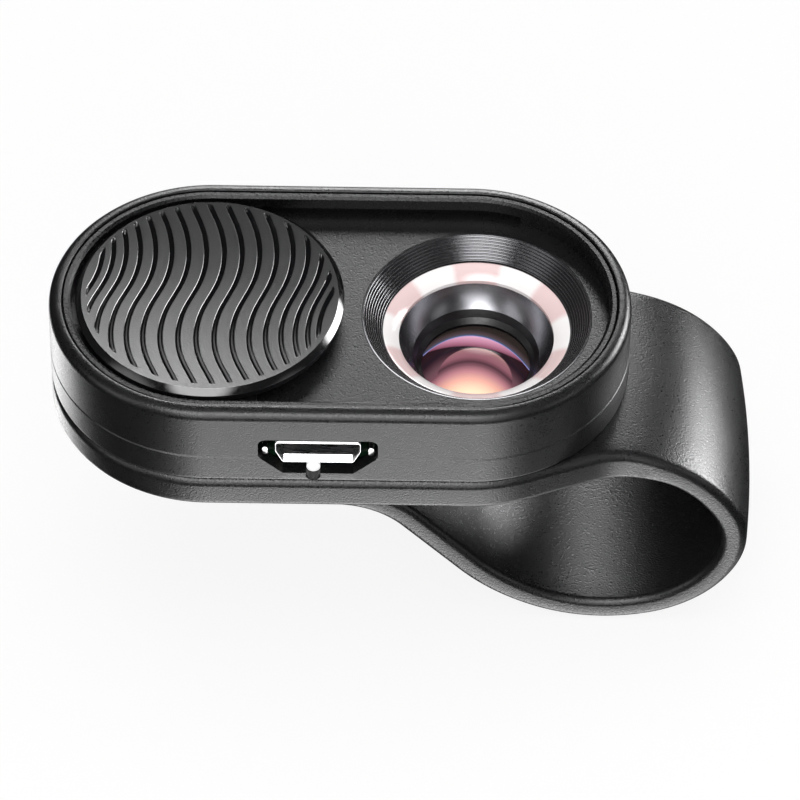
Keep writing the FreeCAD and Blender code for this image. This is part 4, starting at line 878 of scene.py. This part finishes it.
class PHONELENS_OT_clip(PhoneLensOperator, bpy.types.Operator):
    """Spring clip: one closed grid whose section is carried along the plate, the flare, the loop and the arm"""
    bl_idname = "phone_lens.clip"
    bl_label = "Build the spring clip"

    def execute(self, context):
        clip, house, well = self.sizes("clip", "housing", "well")
        points = self.sections(clip, *self.stations(clip, house))
        blank = build("bent_clip", points, tube_faces(*points.shape[:2], first_cap=False))
        low, high = clip.plate_bottom, clip.plate_bottom + clip.pad_depth
        start, end = (np.array(corner[:2]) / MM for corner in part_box("plate_pad"))
        cutters = [prism(circle(well.barrel + CLEAR, 96), low - PAST, clip.plate_top + PAST),
                   prism(circle(clip.ring_recess, 128), low - PAST, high),
                   prism(rectangle(*(start - CLEAR), *(end + CLEAR), clip.pad_corner), low - PAST, high)]
        cutters += [prism(circle(clip.screw_recess, 32, centre), low - PAST, low + clip.screw_depth)
                    for centre in screw_places()]
        cut(blank, cutters)
        black = moulded_plastic("moulded black clip", self.paints.shell, 0.32, 0.16, 0.028)
        place(blank, black, "spring_clip")
        return {"FINISHED"}

    @staticmethod
    def plan(clip, house):
        """Half the plate's plan and its outward directions: a half circle, a straight run, part of a circle, a
        straight flare and a hollow arc."""
        angle, turn = clip.flare_angle, clip.flare_radius

        def arc(x, y, radius, angles):
            out = np.stack([np.cos(angles), np.sin(angles)], axis=1)
            return np.array([x, y]) + radius * out, out

        def straight(start, end, out, steps):
            share = np.linspace(0, 1, steps + 1)[1:, None]
            return start + (np.array(end) - start) * share, np.tile(out, (steps, 1))

        quarter = math.pi / 2
        cap = arc(house.left_x, 0, house.radius, np.linspace(math.pi, quarter, 41))
        side = straight([house.left_x, house.radius], [house.right_x, house.radius], [0, 1], 24)
        bend = arc(house.right_x, 0, house.radius, quarter - np.linspace(0, angle, 9)[1:])
        corner = bend[0][-1]
        settle_y = clip.half_width + turn * (1 - math.cos(angle))
        settle_x = corner[0] + (corner[1] - settle_y) / math.tan(angle)
        flare = straight(corner, [settle_x, settle_y], [math.sin(angle), math.cos(angle)], 12)
        hollow = arc(settle_x + turn * math.sin(angle), clip.half_width + turn, -turn,
                     quarter - angle * (1 - np.linspace(0, 1, 13)[1:]))
        return (np.vstack(column) for column in zip(cap, side, bend, flare, hollow))

    @staticmethod
    def band_line(clip, step=0.35):
        """The band's middle line as points, headings and lengths walked: arcs and straight runs, each divided
        into equal steps. An arc's points stand at its radius from a centre beside the line."""
        where, heading, walked = np.array([clip.band_start, clip.plate_top - clip.band / 2]), 0.0, 0.0
        points, headings, distances = [where[None]], [np.array([0.0])], [np.array([0.0])]
        for radius, turn, run in zip(clip.radii, clip.turns, clip.runs):
            size = run if turn == 0 else radius * abs(turn)
            count = max(2, int(round(size / step)))
            share = np.linspace(0, 1, count + 1)[1:]
            course = heading + turn * share
            if turn == 0:
                path = where + np.array([math.cos(heading), math.sin(heading)]) * (share * run)[:, None]
            else:
                arm = math.copysign(radius, turn)
                centre = where + np.array([-math.sin(heading), math.cos(heading)]) * arm
                path = centre - np.stack([-np.sin(course), np.cos(course)], axis=1) * arm
            points.append(path)
            headings.append(course)
            distances.append(walked + share * size)
            where, heading, walked = path[-1], course[-1], walked + size
        return np.concatenate(points), np.concatenate(headings), np.concatenate(distances)

    def stations(self, clip, house):
        """Where the section stands: its outer point and outward normal in X and Z, half width, the plan's outward
        direction, thickness and crown. Past the flare the band keeps one width."""
        seam, flare_run, crown_start, crown_run, fade = 0.2, 12, 0.5, 9, 12
        plan, out = self.plan(clip, house)
        line, heading, walked = self.band_line(clip)
        outward = np.stack([-np.sin(heading), np.cos(heading)], axis=1)
        outer = line + outward * clip.band / 2
        half = np.interp(outer[:, 0], plan[:, 0], plan[:, 1], right=clip.half_width)
        lean_x = np.interp(outer[:, 0], plan[:, 0], out[:, 0], right=0)
        half[walked > flare_run], lean_x[walked > flare_run] = clip.half_width, 0
        on_plate = plan[:, 0] < clip.band_start - seam
        flat, count = plan[on_plate], on_plate.sum()
        thick = clip.plate_top - clip.plate_bottom
        root = eased(walked, clip.root_start, clip.root_run)
        rise = eased(walked, crown_start, crown_start + crown_run) * np.clip((walked[-1] - walked) / fade, 0, 1)
        return (np.vstack([np.insert(flat[:, :1], 1, clip.plate_top, axis=1), outer]),
                np.vstack([np.tile([0, 1], (count, 1)), outward]),
                np.concatenate([flat[:, 1], half]),
                np.vstack([out[on_plate], np.stack([lean_x, np.sqrt(1 - lean_x ** 2)], axis=1)]),
                np.concatenate([np.full(count, thick), thick + (clip.band - thick) * root]),
                np.concatenate([np.zeros(count), clip.crown * rise]))

    @staticmethod
    def sections(clip, position, normal, width, plan_out, depth, crown):
        """Grid of points: at each station the section is a flat bar with four rounded edges and a crowned outer
        face. Half of it runs from the sole's middle round both edges to the top's middle, column by column with
        the inset from the plan's outline, the height over the sole or depth under the top, and the share of the
        half width."""
        inner, outer = np.linspace(0, math.pi / 2, 6), np.linspace(0, math.pi / 2, 8)
        sole, top = np.linspace(0, 1, 7)[:-1], np.linspace(1, 0, 11)[1:]
        inset = np.concatenate([np.full(len(sole), clip.inner_edge), clip.inner_edge * (1 - np.sin(inner)),
                                clip.edge * (1 - np.cos(outer)), np.full(len(top), clip.edge)])
        share = np.concatenate([sole, np.ones(len(inner) + len(outer)), top])
        foot = np.concatenate([np.zeros(len(sole)), clip.inner_edge * (1 - np.cos(inner))])
        down = np.concatenate([clip.edge * (1 - np.sin(outer)), np.zeros(len(top))])
        under = np.hstack([depth[:, None] - foot, np.tile(down, (len(depth), 1))])
        over_top = crown[:, None] * (1 - share ** 2) * (np.arange(len(share)) >= len(foot))
        x = position[:, :1] + normal[:, :1] * (over_top - under) - plan_out[:, :1] * inset
        z = position[:, 1:] + normal[:, 1:] * (over_top - under)
        y = share * np.maximum(width[:, None] - plan_out[:, 1:] * inset, 0)
        near = np.stack([x, y, z], axis=2)
        return np.concatenate([near, (near * [1, -1, 1])[:, -2:0:-1]], axis=1)


def screw_places():
    """Centres of the four screws: the middle of what their solids' node holds in each quarter of its plan."""
    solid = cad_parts["case_screws"].data
    points = np.zeros(len(solid.vertices) * 3)
    solid.vertices.foreach_get("co", points)
    points = points.reshape(-1, 3)[:, :2] / MM
    quarter = (points > points.mean(axis=0)) @ [2, 1]
    return [(points[quarter == number].min(axis=0) + points[quarter == number].max(axis=0)) / 2
            for number in range(4)]


class PHONELENS_OT_screws(PhoneLensOperator, bpy.types.Operator):
    """Pan heads of the four screws, each with a cross recess"""
    bl_idname = "phone_lens.screws"
    bl_label = "Build the screws"

    def execute(self, context):
        size, = self.sizes("screws")
        bottom, top = (end[2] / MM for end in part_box("case_screws"))
        neck = bottom + size.head_height
        profile = rounded([(0, bottom, 0), (size.head, bottom, 0.3), (size.head, neck, 0), (size.shank, neck, 0),
                           (size.shank, top - size.shank, 0), (0, top, 0)], 4)
        screws = None
        for x, y in screw_places():
            screw = turned("cross_screws", profile, 40, (x, y))
            cut(screw, [prism(rectangle(x - wide, y - tall, x + wide, y + tall), bottom - PAST, bottom + size.recess)
                        for wide, tall in ((size.arm, size.slot), (size.slot, size.arm))])
            screws = screw if screws is None else cut(screws, [screw], operation="UNION")
        place(screws, plated_steel("zinc-plated screw steel", paint("8C8C8E"), 0.35), "case_screws")
        return {"FINISHED"}


class PHONELENS_OT_port(PhoneLensOperator, bpy.types.Operator):
    """Receptacle of the charging port, folded from sheet, with slanted lower corners"""
    bl_idname = "phone_lens.port"
    bl_label = "Build the charging port"

    def execute(self, context):
        port, = self.sizes("port")
        outer, inner = self.section(port, 0, 0.3), self.section(port, port.shell_wall, 0.2)
        face, back = port.shell_face, port.shell_face + port.shell_length
        lip = [0, -port.lip] * np.clip((port.shell_bottom + port.shell_side - outer[:, 1:]) / port.shell_side, 0, 1)
        start, edge = face + port.lip + 3 * CLEAR, 0.06
        rings = [(inner, back - port.shell_wall), (inner, start), (inner + lip, face + edge),
                 (inner + (outer - inner) * 0.3 + lip, face), (inner + (outer - inner) * 0.7 + lip, face),
                 (outer + lip, face + edge), (outer, start), (outer, back)]
        points = np.stack([np.insert(ring, 1, level, axis=1) for ring, level in rings])
        shell = build("port_shell", points, tube_faces(*points.shape[:2]))
        half, z = port.tab / 2, port.tab_z
        for side in (-1, 1):
            x, root = port.x + side * port.tab_x, port.x + side * (port.shell_half - 2 * CLEAR)
            tab = rectangle(x - half, z - port.tab, x + half, z + port.tab, half * 0.9)
            arm = rectangle(x - half, z - half, root, z + half)
            ear = cut(prism(tab, face + port.tab_front, face + port.tab_back, "Y"),
                      [prism(arm, face + port.tab_back - 0.2, face + port.tab_back + 0.1, "Y")], operation="UNION")
            cut(shell, [ear], operation="UNION")
        place(shell, plated_steel("nickel-plated sheet steel", self.paints.steel), "usb_shell")
        return {"FINISHED"}

    @staticmethod
    def section(port, inset, corner):
        """The receptacle's section in X and Z, kept one wall inside the outer one."""
        half, foot = port.shell_half - inset * 0.35, port.shell_foot - inset * 0.1
        top, bottom = port.shell_bottom + port.shell_height - inset, port.shell_bottom + inset
        side = port.shell_bottom + port.shell_side + inset / 4
        return mirrored(port.x, [(foot, bottom, corner), (half, side, corner), (half, top, corner)], 4)


class PHONELENS_OT_inner_parts(PhoneLensOperator, bpy.types.Operator):
    """Finishes of the frame's own pieces: carriage, magnet, board, tongue, pads and what is inside"""
    bl_idname = "phone_lens.inner_parts"
    bl_label = "Finish the inner parts"

    def execute(self, context):
        paints = self.paints
        dress(moulded_plastic("smooth black carriage", paints.ring, 0.4, 0.3, 0.006, 0.08),
              "cover_slider", "spacer_ring", "retaining_ring")
        dress(plated_steel("nickel-plated magnet", paint("B8B8B8"), 0.22), "cover_magnet")
        dress(moulded_plastic("solder mask over glass fibre", paints.board, 0.35, 0.5, 0.004, 0.2), "main_board")
        dress(moulded_plastic("grey contact carrier", paint("3A3A3C"), 0.5, 0.3, 0.004), "usb_tongue")
        lit = {"Emission Color": (1, 1, 1, 1), "Emission Strength": 0.5}
        dress(moulded_plastic("milky light pipe, lit from behind", paint("F4F4F2"), 0.3, 0.4, 0.002, 0.02, **lit),
              "light_pipe")
        dress(soft_silicone("moulded silicone", paints.pad), "phone_pad", "plate_pad", "arm_pad")
        dress(moulded_plastic("white lamp body", paint("F0EAC8"), 0.3, 0.4, 0.002, 0.02),
              "ring_leds", "indicator_led")
        dress(plated_steel("laminated cell foil", paint("C8C8CA"), 0.4), "battery_cell")
        dress(moulded_plastic("black chip body", paint("1E1E20"), 0.55, 0.2, 0.006), "charge_chip", "hall_sensor")
        return {"FINISHED"}


def direction(azimuth, elevation):
    """Unit vector from an azimuth, turned from +Y towards +X, and an elevation, in degrees."""
    turn, tip = math.radians(azimuth), math.radians(elevation)
    return Vector((math.sin(turn) * math.cos(tip), math.cos(turn) * math.cos(tip), math.sin(tip)))


class PHONELENS_OT_studio(PhoneLensOperator, bpy.types.Operator):
    """Pale floor, soft boxes, white surroundings and the camera"""
    bl_idname = "phone_lens.studio"
    bl_label = "Set up the studio"

    def execute(self, context):
        scene = context.scene
        scene.view_settings.view_transform = "Standard"
        self.floor()
        self.surroundings(scene)
        self.soft_box("front_box", azimuth=180, elevation=35, size=(0.6, 0.4), watts=1.6)
        self.soft_box("top_box", azimuth=0, elevation=85, size=(0.6, 0.6), watts=2.2)
        self.camera(scene)
        return {"FINISHED"}

    def floor(self, reach=600, gap=0.2, shadow=0.13):
        """A large square under the lowest point. The camera sees it as white less a share of the object's shadow."""
        level = CAD_BOX[0][2] / MM - gap
        corners = np.insert(rectangle(-reach, -reach, reach, reach), 2, level, axis=1)
        floor = build("studio_floor", corners, [[0, 1, 2, 3]])
        material, tree, shader, where = new_material("matt white card")
        tone = laid_over(tree, noise(tree, where, 1.5, 2.0), 0.9, 0.93)
        feed(shader, {"Roughness": 0.95, "Base Color": add_node(tree, "CombineColor", {0: tone, 1: tone, 2: tone})})
        rays = add_node(tree, "LightPath").outputs
        seen = calc(tree, "MAXIMUM", calc(tree, "MAXIMUM", rays["Is Camera Ray"], rays["Is Glossy Ray"]),
                    rays["Is Transmission Ray"])
        glow = add_node(tree, "Emission", {"Color": (1, 1, 1, 1), "Strength": 1.0})
        blend = add_node(tree, "MixShader", {0: calc(tree, "MULTIPLY", seen, 1 - shadow), 1: shader, 2: glow})
        feed(tree.nodes["Material Output"], {"Surface": blend})
        floor.data.materials.append(material)
        floor.visible_glossy = False

    def surroundings(self, scene):
        """White for what the camera or the glass sees, and one plain grey level for matt surfaces. What shines sees
        the studio's soft panels: each is a round patch of sky or table, in degrees round its centre."""
        plain_level, total = 0.25, 0.02
        world = bpy.data.worlds.new("white studio")
        scene.world = world
        world.use_nodes = True
        tree = world.node_tree
        way = add_node(tree, "TexCoord").outputs["Generated"]
        panels = (
            # azimuth from +Y towards +X, elevation, bright radius, outer radius, strength
            (174, -50, 9, 18, 3.5),    # pale table in front
            (176, -70, 9, 19, 5.5),    # its near edge
            (188, 48, 12, 23, 7.2),    # panel behind the camera
            (180, 16, 12, 24, 3.0),    # low strip in front
            (240, 20, 10, 22, 1.6),    # its left end
            (120, 16, 8, 20, 1.0),     # its right end
            (0, 88, 5, 20, 0.6),       # overhead
            (6, 27, 9, 18, 13.0),      # low panel at the back
            (63, 12, 9, 18, 22.0),     # window at the right, towards the back
            (-42, -47, 6, 18, 4.2),    # pale table at the left
            (0, -24, 7, 17, 1.4),      # pale table at the back
            (100, -68, 8, 18, 1.2),    # pale table at the right
        )
        for azimuth, elevation, bright, outer, strength in panels:
            cosine = calc(tree, "DOT_PRODUCT", way, direction(azimuth, elevation), kind="VectorMath")
            edge, middle = (math.cos(math.radians(angle)) for angle in (outer, bright))
            patch = laid_over(tree, cosine.outputs["Value"], 0, strength, edge, middle,
                              interpolation_type="SMOOTHSTEP")
            total = calc(tree, "ADD", patch, total)
        rays = add_node(tree, "LightPath").outputs
        shine = calc(tree, "MULTIPLY", total, rays["Is Glossy Ray"])
        lit = calc(tree, "MULTIPLY_ADD", rays["Is Diffuse Ray"], plain_level, shine)
        seen = calc(tree, "MAXIMUM", rays["Is Camera Ray"], rays["Is Transmission Ray"])
        feed(tree.nodes["Background"], {"Strength": calc(tree, "MAXIMUM", lit, seen), "Color": (1, 1, 1, 1)})

    def soft_box(self, name, azimuth, elevation, size, watts, distance=0.5):
        """A rectangular lamp that faces the lens unit and isn't mirrored in it."""
        aim, way = Vector((-0.008, 0, 0.004)), direction(azimuth, elevation)
        lamp = bpy.data.lights.new(name, "AREA")
        lamp.shape, lamp.size, lamp.size_y, lamp.energy = "RECTANGLE", *size, watts
        box = bpy.data.objects.new(name, lamp)
        box.matrix_world = Matrix.Translation(aim + way * distance) @ way.to_track_quat("Z", "Y").to_matrix().to_4x4()
        box.visible_glossy = False
        bpy.context.scene.collection.objects.link(box)

    def camera(self, scene):
        """The camera that the photograph was matched with: a target, its distance and three angles, then turned
        so that the picture's centre lies on its axis."""
        target = Vector((-12.0, 0.0, 4.4)) * MM
        distance, focal_pixels = 544.514 * MM, 6104.9
        elevation, azimuth, roll = 46.94512, -0.98586, math.radians(0.08411)
        centre_right, centre_down = 58.781, 40.723
        picture_width, sensor = 800, 36.0
        ahead = direction(azimuth, -elevation)
        right = ahead.cross(Vector((0, 0, 1))).normalized()
        up = right.cross(ahead)
        right, up = right * math.cos(roll) + up * math.sin(roll), up * math.cos(roll) - right * math.sin(roll)
        where = target - ahead * distance
        axis = (ahead + right * (centre_right / focal_pixels) - up * (centre_down / focal_pixels)).normalized()
        right = (right - axis * right.dot(axis)).normalized()
        lens = bpy.data.cameras.new("camera")
        lens.sensor_width = sensor
        lens.lens = focal_pixels / picture_width * sensor
        lens.clip_start, lens.clip_end = 0.01, 10
        camera = bpy.data.objects.new("camera", lens)
        turned_to = Matrix((right, right.cross(axis), -axis)).transposed().to_4x4()
        camera.matrix_world = Matrix.Translation(where) @ turned_to
        scene.collection.objects.link(camera)
        scene.camera = camera


class PHONELENS_PT_panel(bpy.types.Panel):
    """Sizes, colours and the pieces to build"""
    bl_idname = "PHONELENS_PT_panel"
    bl_label = "Phone lens"
    bl_space_type = "VIEW_3D"
    bl_region_type = "UI"
    bl_category = "Phone lens"

    def draw(self, context):
        for step in OPERATORS:
            self.layout.operator(step.bl_idname)
        settings = context.scene.phone_lens
        for name in settings.__annotations__:
            box = self.layout.box()
            box.label(text=name.capitalize())
            group = getattr(settings, name)
            for key in group.__annotations__:
                box.prop(group, key)


OPERATORS = (
    PHONELENS_OT_studio, PHONELENS_OT_shells, PHONELENS_OT_ring, PHONELENS_OT_cover, PHONELENS_OT_well,
    PHONELENS_OT_glass, PHONELENS_OT_clip, PHONELENS_OT_screws, PHONELENS_OT_port, PHONELENS_OT_inner_parts)
GROUPS = (HousingSizes, CoverSizes, WellSizes, ClipSizes, PortSizes, ScrewSizes, Finishes, LensSettings)
CLASSES = (*GROUPS, *OPERATORS, PHONELENS_PT_panel)


def register():
    for item in CLASSES:
        bpy.utils.register_class(item)
    bpy.types.Scene.phone_lens = bpy.props.PointerProperty(type=LensSettings)


def unregister():
    del bpy.types.Scene.phone_lens
    for item in reversed(CLASSES):
        bpy.utils.unregister_class(item)


def main():
    register()
    for step in OPERATORS:
        family, name = step.bl_idname.split(".")
        getattr(getattr(bpy.ops, family), name)()


if __name__ == "__main__":
    main()
